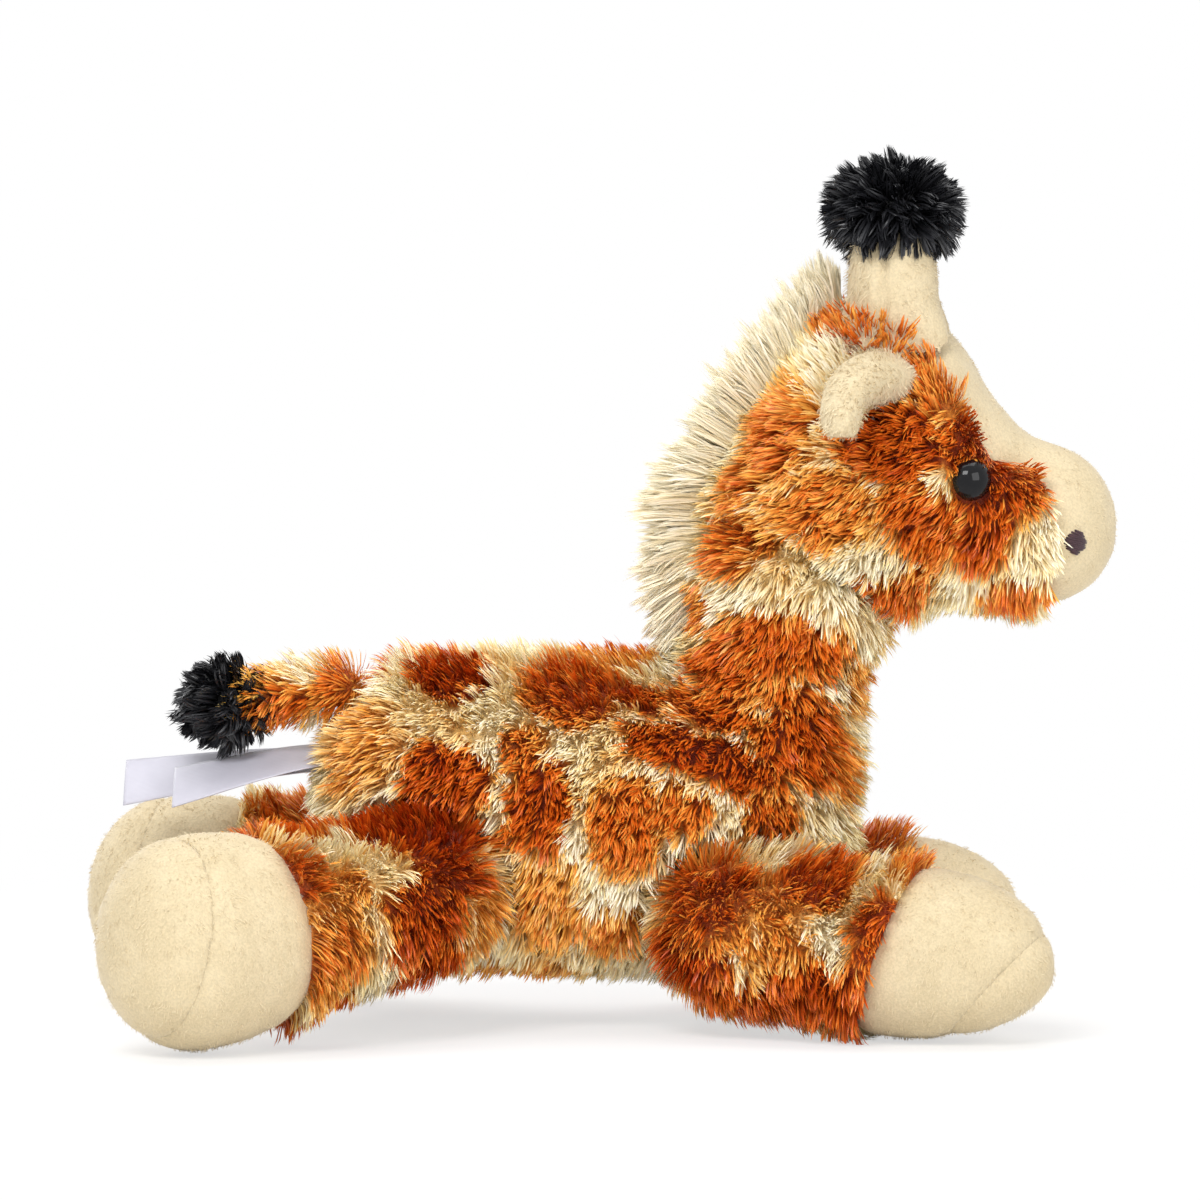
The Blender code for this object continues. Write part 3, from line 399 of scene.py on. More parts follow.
class Markings:
    """Air-brushed patches on cream pile. Each is given as it is seen from the right side: its middle (x, z)
    and its half length and half height in millimetres, its turn in degrees, and its tone. Sides that the
    photograph doesn't show are filled with patches of the same sizes."""

    SPACING = 19 * MM  # from the middle of a patch to the next, where they are filled in
    RAGGED = 1.5 * MM  # how far the edges wander
    EDGE = (1.0, 1.22)  # where the dye starts to fade and ends, in half sizes from the middle
    FROM_THE_RIGHT = -0.4  # the photograph shows the skin whose outward direction has a y below this

    def __init__(self, form, seen, spread=1.12):
        tree = BVHTree.FromObject(form, bpy.context.evaluated_depsgraph_get())
        self.middles, self.sizes, self.turns, self.tones = [], [], [], []
        for x, z, half_length, half_height, turn, tone in seen:
            hit = tree.ray_cast(Vector((x * MM, -200 * MM, z * MM)), Vector((0, 1, 0)))[0]
            hit = hit or Vector((x * MM, MIDPLANE - 18 * MM, z * MM))
            self.keep(hit, half_length * spread, half_height * spread, turn, tone)
        dice = chance(form.name)
        places, ways = corners(form.data), outward(form.data)
        for number in dice.permutation(len(places)):
            point = places[number]
            gaps = np.linalg.norm(np.array(self.middles) - point, axis=1)
            if ways[number][1] > self.FROM_THE_RIGHT and gaps.min() > self.SPACING:
                half_length = dice.uniform(8.5, 12.0)
                half_height = half_length * dice.uniform(0.6, 0.9)
                turn, tone = dice.uniform(-60, 60), dice.uniform(0.1, 0.4)
                self.keep(Vector(point), half_length, half_height, turn, tone)

    def keep(self, middle, half_length, half_height, turn, tone):
        self.middles.append(tuple(middle))
        self.sizes.append((half_length * MM, half_height * MM))
        self.turns.append(math.radians(turn))
        self.tones.append(tone)

    def tone_at(self, places):
        """0 is the darkest dye, 0.5 is golden and 1 is undyed cream. A patch is darkest in its middle."""
        wander = np.stack([mottle(places, 6 * MM, seed) for seed in (1, 2, 3)], axis=1)
        ragged = places + wander * self.RAGGED
        undyed = 0.86 + 0.16 * mottle(places, 8 * MM, 4)
        cover = np.zeros(len(places))
        dye = np.zeros(len(places))
        for middle, (long, high), turn, tone in zip(self.middles, self.sizes, self.turns, self.tones):
            across, deep, up = (ragged - np.array(middle)).T
            along = across * math.cos(turn) + up * math.sin(turn)
            over = up * math.cos(turn) - across * math.sin(turn)
            reach = np.sqrt((along / long) ** 2 + (over / high) ** 2 + (deep * 2 / (long + high)) ** 2)
            share = 1 - smoothstep(*self.EDGE, reach)
            dye = np.where(share > cover, tone + 0.17 * smoothstep(0.6, 1.1, reach), dye)
            cover = np.maximum(cover, share)
        shade = 0.06 * mottle(places, 3 * MM, 5)
        return np.clip(undyed * (1 - cover) + dye * cover + shade, 0.0, 1.0)


def add_values(mesh, **values):
    for name, each in values.items():
        attribute = mesh.attributes.get(name) or mesh.attributes.new(name, "FLOAT", "POINT")
        attribute.data.foreach_set("value", np.asarray(each, np.float32))


def settle(piece, kind, body, *stands_for):
    """Says what a piece is made of, what it moves with and which solids it stands for. Its kind is a
    material with the slot that goes with it, but the slot is not used."""
    finish, slot = kind
    piece.data.materials.append(finish)
    if stands_for:
        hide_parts(*stands_for)
    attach(piece, body)


def panel(form, name, keep, body, kind, *stands_for, thickness=BACKING):
    """The part of a form's skin that keep says, as a sewn panel of cloth."""
    model = bmesh.new()
    model.from_mesh(form.data)
    extra = [face for face, kept in zip(model.faces, keep, strict=True) if not kept]
    bmesh.ops.delete(model, geom=extra, context="FACES")
    piece = link(name, mesh_from(model, name, smooth=True))
    wall = piece.modifiers.new("cloth", "SOLIDIFY")
    wall.thickness, wall.offset = thickness, -1.0
    settle(piece, kind, body, *stands_for)


ON_THE_LINE = 1e-6  # a corner this near to the line counts as past it


def seam_line(form, field):
    """Cuts the skin's faces along the line where the field on its corners is zero. Returns the field."""
    model = bmesh.new()
    model.from_mesh(form.data)
    layer = model.verts.layers.float.new("seam")
    for vertex, value in zip(model.verts, field, strict=True):
        vertex[layer] = value if abs(value) > ON_THE_LINE else ON_THE_LINE
    crossing = []
    for edge in list(model.edges):
        first, second = edge.verts
        here, there = first[layer], second[layer]
        if here * there < 0:
            _, fresh = bmesh.utils.edge_split(edge, first, here / (here - there))
            fresh[layer] = 0.0
            crossing.append(fresh)
    bmesh.ops.connect_verts(model, verts=crossing)
    model.verts.index_update()
    values = np.array([vertex[layer] for vertex in model.verts])
    model.verts.layers.float.remove(layer)
    model.to_mesh(form.data)
    model.free()
    return values


def face_mean(mesh, values):
    return np.array([np.mean(values[list(polygon.vertices)]) for polygon in mesh.polygons])


tawny_backing = backing_finish("tawny_backing", TAWNY_ROOTS), "tawny_long_pile"

TORSO_MARKS = (
    (14.2, 71.0, 8.6, 3.8, 0, 0.15),
    (23.8, 62.4, 10.0, 3.3, -12, 0.20),
    (20.6, 54.1, 14.2, 3.6, -16, 0.12),
    (-4.5, 65.8, 8.8, 7.2, 0, 0.24),
    (-27.6, 68.0, 7.2, 5.5, -8, 0.10),
    (-40.4, 73.5, 8.1, 2.9, 8, 0.25),
    (-28.1, 48.4, 6.9, 7.6, 0, 0.10),
    (-10.3, 45.6, 5.3, 8.0, -14, 0.14),
    (6.0, 42.0, 6.0, 8.6, 0, 0.28),
    (16.5, 43.8, 4.8, 4.0, 0, 0.30),
    (-44.3, 55.3, 8.1, 8.4, 0, 0.50),
    (34.4, 41.8, 5.0, 5.0, -20, 0.25),
    (-9.4, 25.9, 7.3, 9.2, 0, 0.42),
    (-22.9, 30.0, 4.8, 6.4, 0, 0.32),
    (3.1, 21.5, 4.2, 5.8, 0, 0.36),
    (46.5, 50.7, 3.5, 5.0, 0, 0.36),
    (-12.6, 14.4, 11.5, 2.7, 0, 0.42),
    (8.5, 64.3, 4.2, 2.3, -20, 0.20),
    (-13.6, 56.1, 3.1, 4.2, 0, 0.30),
    (37.7, 76.5, 10.4, 5.8, -8, 0.20),
    (26.8, 72.3, 8.1, 6.2, 0, 0.20),
    (22.3, 83.9, 5.0, 4.2, 0, 0.36),
    (48.9, 68.4, 3.5, 6.2, 0, 0.45),
    (40.4, 56.9, 8.8, 6.9, -20, 0.18),
    (38.5, 65.4, 6.9, 2.3, -25, 0.30),
)
HEAD_MARKS = (
    (48.5, 136.1, 8.8, 2.9, 10, 0.30),
    (65.0, 125.5, 3.8, 6.5, 35, 0.35),
    (58.5, 114.9, 8.8, 5.8, 0, 0.15),
    (63.1, 100.4, 5.4, 8.1, 35, 0.20),
    (74.8, 101.6, 5.0, 9.6, 0, 0.12),
    (82.5, 107.0, 4.6, 4.6, 0, 0.30),
    (79.7, 86.6, 5.4, 2.9, 10, 0.25),
    (72.9, 83.1, 5.4, 2.3, 0, 0.34),
    (44.7, 102.4, 8.8, 6.2, 0, 0.36),
    (36.6, 115.9, 6.9, 7.7, 0, 0.34),
    (55.4, 85.8, 9.6, 3.8, 18, 0.25),
    (32.0, 127.4, 3.5, 5.4, 40, 0.42),
    (27.3, 94.7, 7.7, 5.0, 0, 0.30),
    (29.7, 105.4, 5.0, 4.6, 0, 0.34),
    (69.6, 114.7, 6.5, 4.4, -20, 0.22),
)
BODY_MARKS = TORSO_MARKS + HEAD_MARKS
torso_parts = ("torso_cover", "neck_cover", "torso_filling", "belly_pellet_pouch")
torso_form = whole_form("torso_form", *torso_parts, grid=2.8 * MM)
to_head = depth_in("head_cover", corners(torso_form.data))
stuff(torso_form, depth_near(to_head, 3 * MM, 9 * MM), 1.2 * MM)
torso_marks = Markings(torso_form, BODY_MARKS)
neck_side = seam_line(torso_form, past_seam(torso_form, "neck_cover", "torso_cover"))
add_values(torso_form.data, tone=torso_marks.tone_at(corners(torso_form.data)))
on_neck = face_mean(torso_form.data, neck_side) < 0
panel(torso_form, "torso_cloth", ~on_neck, "torso", tawny_backing, "torso_cover")
panel(torso_form, "neck_cloth", on_neck, "torso", tawny_backing, "neck_cover")


# Legs and hooves
# Each leg is a stuffed tube of the patterned plush with an egg-shaped hoof of short cream minky, which is
# sewn of an upper and a sole. The seams pull in, and the floor flattens the hoof where it rests.

# Tip colours of the tawny pile. They are lighter than the roots partly from the dye and partly as a painted
# highlight on the shiny tips.
TAWNY_TIPS = (
    (0.0, (0.56, 0.062, 0.003)),
    (0.25, (0.92, 0.21, 0.014)),
    (0.5, (1.0, 0.57, 0.105)),
    (0.75, (1.0, 0.88, 0.50)),
    (1.0, (1.0, 0.97, 0.82)),
)
# The minky's colour, and a darker copy of it that is painted on in swathes as shade.
MINKY = (0.67, 0.56, 0.365)
MINKY_PAINTED_SHADE = (0.63, 0.52, 0.33)
PILE = 5.8 * MM
SHORTEST_PILE = 2 * MM  # where there is room for less, none stands
FUZZ_DEPTH = 0.7 * MM
SOLE_HEIGHT = 0.4 * MM  # the hoof's cloth is flat at this height, with its short pile below it
HIND_MARKS = (
    (-37.9, 40.8, 15.9, 4.9, -6, 0.08),
    (-58.9, 35.1, 7.6, 5.3, -20, 0.25),
    (-27.2, 33.4, 6.8, 5.0, 0, 0.14),
    (-21.5, 24.5, 4.2, 5.4, 0, 0.44),
    (-32.8, 25.6, 7.6, 6.0, 0, 0.10),
    (-50.2, 20.0, 8.7, 7.6, 0, 0.36),
    (-47.0, 31.0, 5.2, 3.4, 0, 0.42),
    (-30.9, 16.6, 6.8, 3.4, 0, 0.12),
    (-51.2, 8.6, 5.7, 2.1, 12, 0.32),
)
FRONT_MARKS = (
    (20.9, 27.1, 8.7, 7.6, 0, 0.25),
    (43.4, 31.7, 5.7, 8.7, -20, 0.20),
    (34.6, 26.7, 4.6, 4.9, 0, 0.40),
    (55.1, 21.8, 6.1, 6.5, 0, 0.20),
    (16.4, 17.2, 9.9, 3.4, -14, 0.07),
    (34.0, 18.6, 6.5, 3.0, 10, 0.40),
    (43.4, 11.5, 11.4, 4.6, 0, 0.12),
    (27.8, 9.2, 11.0, 3.8, -10, 0.20),
    (48.7, 5.0, 4.6, 2.1, 0, 0.15),
)
FAR_HIND_MARKS = ((-58.0, 38.0, 9.0, 3.0, 0, 0.30),)
FAR_FRONT_MARKS = ((50.0, 34.0, 7.0, 3.0, 0, 0.40),)
ROOTS_ROUGHER, ROUGHNESS_FALL = 0.15, 0.2  # a fibre is dull at the root and smoothest at the tip


def pile_finish(name, roots, tips, roughness=0.36, specular=0.34):
    """Fibres whose colour runs from root to tip and with the tone that each one is given. Darker roots are
    partly the dye and partly painted shade deep in the pile, and lighter tips are partly a painted
    highlight.
    """
    finish = Finish(name, Specular_IOR_Level=specular)
    tone, rise = finish.attribute("tone"), finish.attribute("rise")
    colour = finish.mix(rise, finish.ramp(tone, roots), finish.ramp(tone, tips))
    return finish.paint(Base_Color=colour, Roughness=roughness + ROOTS_ROUGHER - rise * ROUGHNESS_FALL)


def gap_to(form, places):
    """The distance from each place to the nearest point of a form."""
    tree = BVHTree.FromObject(form, bpy.context.evaluated_depsgraph_get())
    return np.array([tree.find_nearest(Vector(point))[3] for point in places])


def bell(distance, width):
    """1 at no distance, falling off to nothing at about twice the width."""
    return np.exp(-((distance / width) ** 2))


def all_faces(form):
    return np.ones(len(form.data.polygons), bool)


def only(stands, *lists):
    """The lists without the entries where stands is false."""
    return [each[stands] for each in lists]


def pucker(form, field, depth, width):
    """Draws the skin in along a seam."""
    inwards = outward(form.data) * (depth * bell(field, width))[:, None]
    place(form.data, corners(form.data) - inwards)


def scatter(form, keep, per_square_mm, name):
    """Even random places on the faces of a form that keep says, with the outward direction at each."""
    dice = chance(name)
    mesh = form.data
    mesh.calc_loop_triangles()
    corner = np.empty(len(mesh.loop_triangles) * 3, int)
    mesh.loop_triangles.foreach_get("vertices", corner)
    face = np.empty(len(mesh.loop_triangles), int)
    mesh.loop_triangles.foreach_get("polygon_index", face)
    corner = corner.reshape(-1, 3)[np.asarray(keep)[face]]
    places, ways = corners(mesh), outward(mesh)
    a, b, c = places[corner[:, 0]], places[corner[:, 1]], places[corner[:, 2]]
    area = np.linalg.norm(np.cross(b - a, c - a), axis=1) / 2
    count = int(area.sum() / MM**2 * per_square_mm)
    chosen = dice.choice(len(area), count, p=area / area.sum())
    u, v = dice.random((2, count))
    folded = u + v > 1
    u[folded], v[folded] = 1 - u[folded], 1 - v[folded]
    share = np.stack([1 - u - v, u, v], axis=1)[:, :, None]
    spots = (places[corner[chosen]] * share).sum(axis=1)
    normals = (ways[corner[chosen]] * share).sum(axis=1)
    return spots, normals / np.linalg.norm(normals, axis=1, keepdims=True)


def unit(vectors):
    return vectors / np.maximum(np.linalg.norm(vectors, axis=-1, keepdims=True), 1e-12)


def along_surface(direction, ways):
    """A direction, or one for each spot, laid down on the surface whose outward directions are given."""
    direction = np.asarray(direction, float)
    return unit(direction - (direction * ways).sum(axis=1, keepdims=True) * ways)


LEANING = 1.7  # a fibre's length over the height that its tip stands at


def headroom(spots, ways, reach, *neighbours):
    """How long a leaning fibre can be at each spot before it meets a neighbour, up to its whole reach."""
    room = np.full(len(spots), reach)
    for neighbour in neighbours:
        tree = BVHTree.FromObject(neighbour, bpy.context.evaluated_depsgraph_get())
        for number, (spot, way) in enumerate(zip(spots, ways)):
            distance = tree.ray_cast(Vector(spot + way * 0.05 * MM), Vector(way), reach / LEANING)[3]
            if distance is not None:
                room[number] = min(room[number], distance * LEANING)
    return room


TUFT_LEADERS = 0.07  # the share of the fibres that have a tuft around them
FOOT_DEPTH = 0.3 * MM  # how far a fibre's foot is below the cloth
TIP_FROM = 0.82  # where along a fibre its pointed end starts
LOWEST = 0.15 * MM  # no fibre comes nearer to the floor
TUFT_LIFT, FIBRE_LIFT = 7, 6  # degrees by which whole tufts, and single fibres, stand up or lie down more
TUFT_LENGTHS = 0.10  # the share by which tufts differ in length
SPECKLE = 0.08  # how much the tone differs from one fibre to the next


def fibres(name, spots, ways, combed, length, tones, width=0.36 * MM, lean=(16, 54), steps=3,
           tuft=1.6 * MM, gather=0.45, stray=17.0, roll=30.0):
    """A mesh of tapered fibres, each bent over from its outward direction to the way that it is combed.
    Lean is how many degrees it leans at its foot and at its tip. Tufts of the size given lean together by
    the share that gather says, and stray and roll are how many degrees fibres turn off their way."""
    dice = chance(name)
    count = len(spots)
    heads = dice.permutation(count)[: int(count * TUFT_LEADERS)]
    tree = kdtree.KDTree(len(heads))
    for number, head in enumerate(heads):
        tree.insert(Vector(spots[head]), number)
    tree.balance()
    tuft_of = np.array([tree.find(Vector(spot))[1] for spot in spots])
    away = np.linalg.norm(spots - spots[heads][tuft_of], axis=1)
    tuft_turn = dice.normal(0, stray * 1.2, len(heads))[tuft_of]
    turn = np.radians(tuft_turn + dice.normal(0, stray, count))[:, None]
    sideways = np.cross(ways, combed)
    heading = combed * np.cos(turn) + sideways * np.sin(turn)
    tuft_lift = dice.normal(0, TUFT_LIFT, len(heads))[tuft_of]
    lift = np.radians(tuft_lift + dice.normal(0, FIBRE_LIFT, count))
    tuft_length = 1 + TUFT_LENGTHS * dice.normal(0, 1, len(heads))[tuft_of]
    lengths = length * tuft_length * dice.uniform(0.78, 1.12, count)
    heights = np.append(np.linspace(0, TIP_FROM, steps), 1.0)
    line = [spots - ways * FOOT_DEPTH]
    for step in range(steps):
        bend = np.radians(lean[0] + (lean[1] - lean[0]) * (step + 0.5) / steps) + lift
        bend = np.clip(bend, 0.0, 1.5)[:, None]
        reach = (lengths * (heights[step + 1] - heights[step]))[:, None]
        line.append(line[-1] + (ways * np.cos(bend) + heading * np.sin(bend)) * reach)
    line = np.stack(line, axis=1)
    head_line = line[heads][tuft_of]
    pull = gather * heights**1.3 * bell(away, tuft)[:, None]
    line += (head_line - line) * pull[:, :, None]
    line[:, :, 2] = np.maximum(line[:, :, 2], LOWEST)
    rolled = np.radians(dice.normal(0, roll, count))[:, None]
    flat = unit(np.cross(heading, ways)) * np.cos(rolled) + heading * np.sin(rolled)

    blade = bmesh.new()
    bmesh.ops.create_grid(blade, x_segments=1, y_segments=steps, size=0.5)
    tip = [vertex for vertex in blade.verts if vertex.co.y > 0.49]
    bmesh.ops.pointmerge(blade, verts=tip, merge_co=(0.0, 0.5, 0.0))
    blade.verts.index_update()
    side = np.array([round(vertex.co.x * 2) for vertex in blade.verts])
    level = np.array([round((vertex.co.y + 0.5) * steps) for vertex in blade.verts])
    faces = [[vertex.index for vertex in face.verts] for face in blade.faces]
    blade.free()

    taper = np.interp(heights, (0, 0.3, TIP_FROM, 1), (0.75, 1.0, 0.85, 0.0))
    widths = width * dice.uniform(0.7, 1.2, count)[:, None] * taper[level][None, :] * side[None, :] / 2
    places = line[:, level] + flat[:, None, :] * widths[:, :, None]
    mesh = bpy.data.meshes.new(name)
    mesh.vertices.add(count * len(side))
    mesh.vertices.foreach_set("co", places.ravel())
    sizes = np.array([len(face) for face in faces])
    order = np.concatenate(faces)
    loops = (np.arange(count)[:, None] * len(side) + order[None, :]).ravel()
    totals = np.tile(sizes, count)
    mesh.loops.add(len(loops))
    mesh.loops.foreach_set("vertex_index", loops)
    mesh.polygons.add(len(totals))
    mesh.polygons.foreach_set("loop_start", np.concatenate([[0], np.cumsum(totals)[:-1]]))
    mesh.update(calc_edges=True)
    mesh.polygons.foreach_set("use_smooth", np.ones(len(totals), bool))
    tone = np.clip(tones + dice.normal(0, SPECKLE, count), 0.01, 0.99)[:, None] + side[None, :] * 0.006
    rise = np.tile(heights[level], (count, 1))
    add_values(mesh, tone=tone.ravel(), rise=rise.ravel())
    chart = mesh.uv_layers.new(name="OFBake")
    uv = np.stack([tone.ravel()[loops], 0.02 + 0.96 * rise.ravel()[loops]], axis=1)
    chart.data.foreach_set("uv", uv.ravel())
    return mesh


def grow(name, kind, body, spots, ways, comb, length, tones, **settings):
    """Fibres that are combed along the surface, as a piece that moves with a body."""
    mesh = fibres(name, spots, ways, along_surface(comb, ways), length, tones, **settings)
    settle(link(name, mesh), kind, body)


def minky_finish(name, colour, shade):
    """Short cream pile with painted shade on it in faint swathes, where its colour drifts to a darker copy.
    """
    finish = Finish(name, Roughness=0.8, Sheen_Weight=0.25, Sheen_Roughness=0.35, Specular_IOR_Level=0.25)
    shade_swathe = finish.node("ShaderNodeMapRange", {}, {0: finish.grain(7 * MM, 3.0), 1: 0.38, 2: 0.62})
    pile = finish.grain(0.45 * MM, 3.0)
    clumps = finish.grain(1.6 * MM)
    nap = finish.node("ShaderNodeMapRange", {}, {0: pile, 1: 0.35, 2: 0.65, 3: 0.90, 4: 1.06})
    # Painted shade: the colour drifts to the darker copy in swathes.
    base = finish.mix(1.0, finish.mix(shade_swathe, colour, shade), nap, "MULTIPLY")
    return finish.paint(Base_Color=base, Normal=finish.bump(pile * 0.6 + clumps, 0.3 * MM, 0.4))


# Root and tip colours of the short fuzz. As in all the pile, the darker roots are partly painted shade and
# the lighter tips partly a painted highlight.
FUZZ_ROOTS = ((0.0, (0.65, 0.54, 0.35)), (1.0, (0.69, 0.58, 0.385)))
FUZZ_TIPS = ((0.0, (0.68, 0.575, 0.38)), (1.0, (0.77, 0.66, 0.455)))
tawny_pile = pile_finish("tawny_pile", TAWNY_ROOTS, TAWNY_TIPS), "tawny_long_pile"
fuzz_finish = pile_finish("cream_fuzz", FUZZ_ROOTS, FUZZ_TIPS, roughness=0.6, specular=0.25)
minky_fuzz = fuzz_finish, "cream_short_pile"
minky = minky_finish("cream_minky", (*MINKY, 1.0), (*MINKY_PAINTED_SHADE, 1.0)), "cream_short_pile"


def fur_depth(on_fur):
    """How deep the backing lies below the tips where short cream pile goes over into long fur."""
    return FUZZ_DEPTH + (PILE_DEPTH - FUZZ_DEPTH) * smoothstep(-1.0 * MM, 5.0 * MM, on_fur)


def grow_short(name, body, spots, ways, comb, length, seed, **settings):
    """Short cream fibres of slightly different shades that lie close to the cloth."""
    tones = chance(seed).uniform(0, 1, len(spots))
    settings = {"steps": 2, "tuft": 1.2 * MM, "gather": 0.3, "stray": 20.0} | settings
    grow(name, minky_fuzz, body, spots, ways, comb, length, tones, **settings)


legs = {}
for end, side, marks, over_hoof in (
    ("hind", "right", HIND_MARKS, 2.0 * MM),
    ("hind", "left", FAR_HIND_MARKS, 2.0 * MM),
    ("front", "right", FRONT_MARKS, -1.2 * MM),
    ("front", "left", FAR_FRONT_MARKS, -1.2 * MM),
):
    leg, body = f"{end}_{side}", f"{end}_{side}_leg"
    cover, upper, sole = f"{leg}_leg_cover", f"{leg}_hoof_wall", f"{leg}_hoof_sole"
    form = whole_form(f"{leg}_form", cover, upper, sole, f"{leg}_leg_filling", grid=2.3 * MM)
    inset = fur_depth(over_hoof - past_seam(form, cover, upper))
    to_body = gap_to(torso_form, corners(form.data))
    stuff(form, np.minimum(inset, depth_near(to_body, 5 * MM, 11 * MM)), 0.6 * MM)
    low = corners(form.data)
    low[:, 2] = np.maximum(low[:, 2], SOLE_HEIGHT)
    place(form.data, low)
    ankle = seam_line(form, past_seam(form, cover, upper) - over_hoof)
    pucker(form, ankle, 0.7 * MM, 1.3 * MM)
    edge = seam_line(form, past_seam(form, upper, sole))
    pucker(form, edge, 0.6 * MM, 1.3 * MM)
    ankle = past_seam(form, cover, upper) - over_hoof
    leg_marks = Markings(form, marks, 1.2)
    add_values(form.data, tone=leg_marks.tone_at(corners(form.data)))
    on_cover = face_mean(form.data, ankle) < 0
    on_sole = ~on_cover & (face_mean(form.data, edge) > 0)
    panel(form, f"{leg}_leg_cloth", on_cover, body, tawny_backing, cover)
    panel(form, f"{leg}_hoof_upper", ~on_cover & ~on_sole, body, minky, upper)
    panel(form, f"{leg}_hoof_base", on_sole, body, minky, sole)
    legs[leg] = (form, on_cover, leg_marks)

for leg, (form, on_cover, leg_marks) in legs.items():
    body = f"{leg}_leg"
    spots, ways = scatter(form, on_cover, 3.2, leg)
    room = headroom(spots, ways, PILE, torso_form)
    spots, ways, room = only(room > SHORTEST_PILE, spots, ways, room)
    low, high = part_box(f"{leg}_hoof_wall")
    hoof = np.array((low + high) / 2)
    comb = unit(hoof - spots) * 0.8 + np.array([0, 0, -0.9])
    grow(f"{leg}_leg_pile", tawny_pile, body, spots, ways, comb, room, leg_marks.tone_at(spots))
    spots, ways = scatter(form, ~on_cover, 1.8, f"{leg}_fuzz")
    settings = {"width": 0.13 * MM, "lean": (48, 78)}
    grow_short(f"{leg}_hoof_fuzz", body, spots, ways, (0.1, 0.05, -1.0), 1.2 * MM, leg, **settings)

# The torso's own pile, now that the legs that it meets are there
NECK_END = np.array([37.8 * MM, MIDPLANE, 85 * MM])
BARE_NECK_END = 16.5 * MM  # no pile stands this near to the end of the neck, inside the head
NECK_FROM = 74 * MM  # the height from which the pile is the neck's
leg_forms = [form for form, _, _ in legs.values()]
spots, ways = scatter(torso_form, all_faces(torso_form), 3.8, "torso")
room = headroom(spots, ways, PILE, *leg_forms)
in_head = np.linalg.norm(spots - NECK_END, axis=1) < BARE_NECK_END
spots, ways, room = only(~in_head & (room > SHORTEST_PILE), spots, ways, room)
tones = torso_marks.tone_at(spots)
right = spots[:, 1] < MIDPLANE
high = spots[:, 2] > NECK_FROM
shares = {"neck_pile": high, "torso_pile_right": right & ~high, "torso_pile_left": ~right & ~high}
for name, share in shares.items():
    own_spots, own_ways, own_room, own_tones = only(share, spots, ways, room, tones)
    grow(name, tawny_pile, "torso", own_spots, own_ways, (-0.45, 0.0, -1.0), own_room, own_tones)


# Head and face
# The patterned cover and a cream minky panel, which is the blaze, the muzzle and the chin in one, are sewn
# together down the cheeks. The long pile is brushed away from the face and hides the seam.

head_form = whole_form("head_form", "head_cover", "face_panel", "head_filling", grid=2.3 * MM)
eye_middles = [np.array(sum(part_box(f"eye_{side}"), Vector())) / 2 for side in ("right", "left")]
CROWN, CHEEK = (0.0715, 0.130), (0.0835, 0.106)  # x and z of where the crown swells and the blaze widens


def to_eyes(places):
    """The distance from each place to the middle of the nearer eye."""
    return np.min([np.linalg.norm(places - middle, axis=1) for middle in eye_middles], axis=0)


def seen_distance(places, x, z):
    """How far each place is from a point in the side view."""
    return np.linalg.norm((places - np.array([x, 0, z])) * np.array([1, 0, 1]), axis=1)


skin = corners(head_form.data)
inset = fur_depth(-past_seam(head_form, "head_cover", "face_panel"))
inset = np.minimum(inset, (1.2 + 2.4 * smoothstep(6 * MM, 13 * MM, to_eyes(skin))) * MM)
inset = np.minimum(inset, depth_near(gap_to(torso_form, skin), 5 * MM, 11 * MM))
stuff(head_form, inset, 0.6 * MM)
skin = corners(head_form.data)
swell = 0.8 * MM * bell(seen_distance(skin, *CROWN), 6 * MM)
place(head_form.data, skin + outward(head_form.data) * swell[:, None])
cheek = past_seam(head_form, "head_cover", "face_panel")
cheek = cheek - 4.5 * MM * bell(seen_distance(corners(head_form.data), *CHEEK), 8 * MM)
cheek = seam_line(head_form, cheek)
pucker(head_form, cheek, 0.6 * MM, 1.2 * MM)
head_marks = Markings(head_form, BODY_MARKS, 1.22)
add_values(head_form.data, tone=head_marks.tone_at(corners(head_form.data)))
on_cover = face_mean(head_form.data, cheek) < 0
panel(head_form, "head_cloth", on_cover, "head", tawny_backing, "head_cover")
panel(head_form, "face_cloth", ~on_cover, "head", minky, "face_panel")

BARE_ABOVE_EYE, BARE_BELOW_EYE = 2.9, 4.1  # millimetres from the eye's middle that no long pile stands in
BROW = np.array([0.078, MIDPLANE, 0.112])  # the long pile is brushed away from here
spots, ways = scatter(head_form, on_cover, 3.9, "head")
room = headroom(spots, ways, PILE, torso_form)
to_eye = to_eyes(spots)
above = spots[:, 2] > eye_middles[0][2] + 1.5 * MM
clear = to_eye > np.where(above, BARE_ABOVE_EYE, BARE_BELOW_EYE) * MM
spots, ways, room, to_eye = only(clear & (room > SHORTEST_PILE), spots, ways, room, to_eye)
comb = unit(spots - BROW) + np.array([-0.1, 0.0, 0.0])

# It is brushed down on the cheek and up on the crown, and is shorter around the eye
comb[:, 2] += -0.35 + 1.1 * smoothstep(116 * MM, 126 * MM, spots[:, 2])
length = room * (0.80 + 0.20 * smoothstep(4 * MM, 12 * MM, to_eye))
grow("head_pile", tawny_pile, "head", spots, ways, comb, length, head_marks.tone_at(spots))
spots, ways = scatter(head_form, ~on_cover, 2.0, "face")
settings = {"width": 0.12 * MM, "lean": (50, 79)}
grow_short("face_fuzz", "head", spots, ways, (0.6, 0.0, -0.7), 1.0 * MM, "face", **settings)


# Horns and their tufts
# Two stuffed tubes of cream minky, sewn up the sides and closed on top, each with a pompom of black
# long pile stitched over the end.

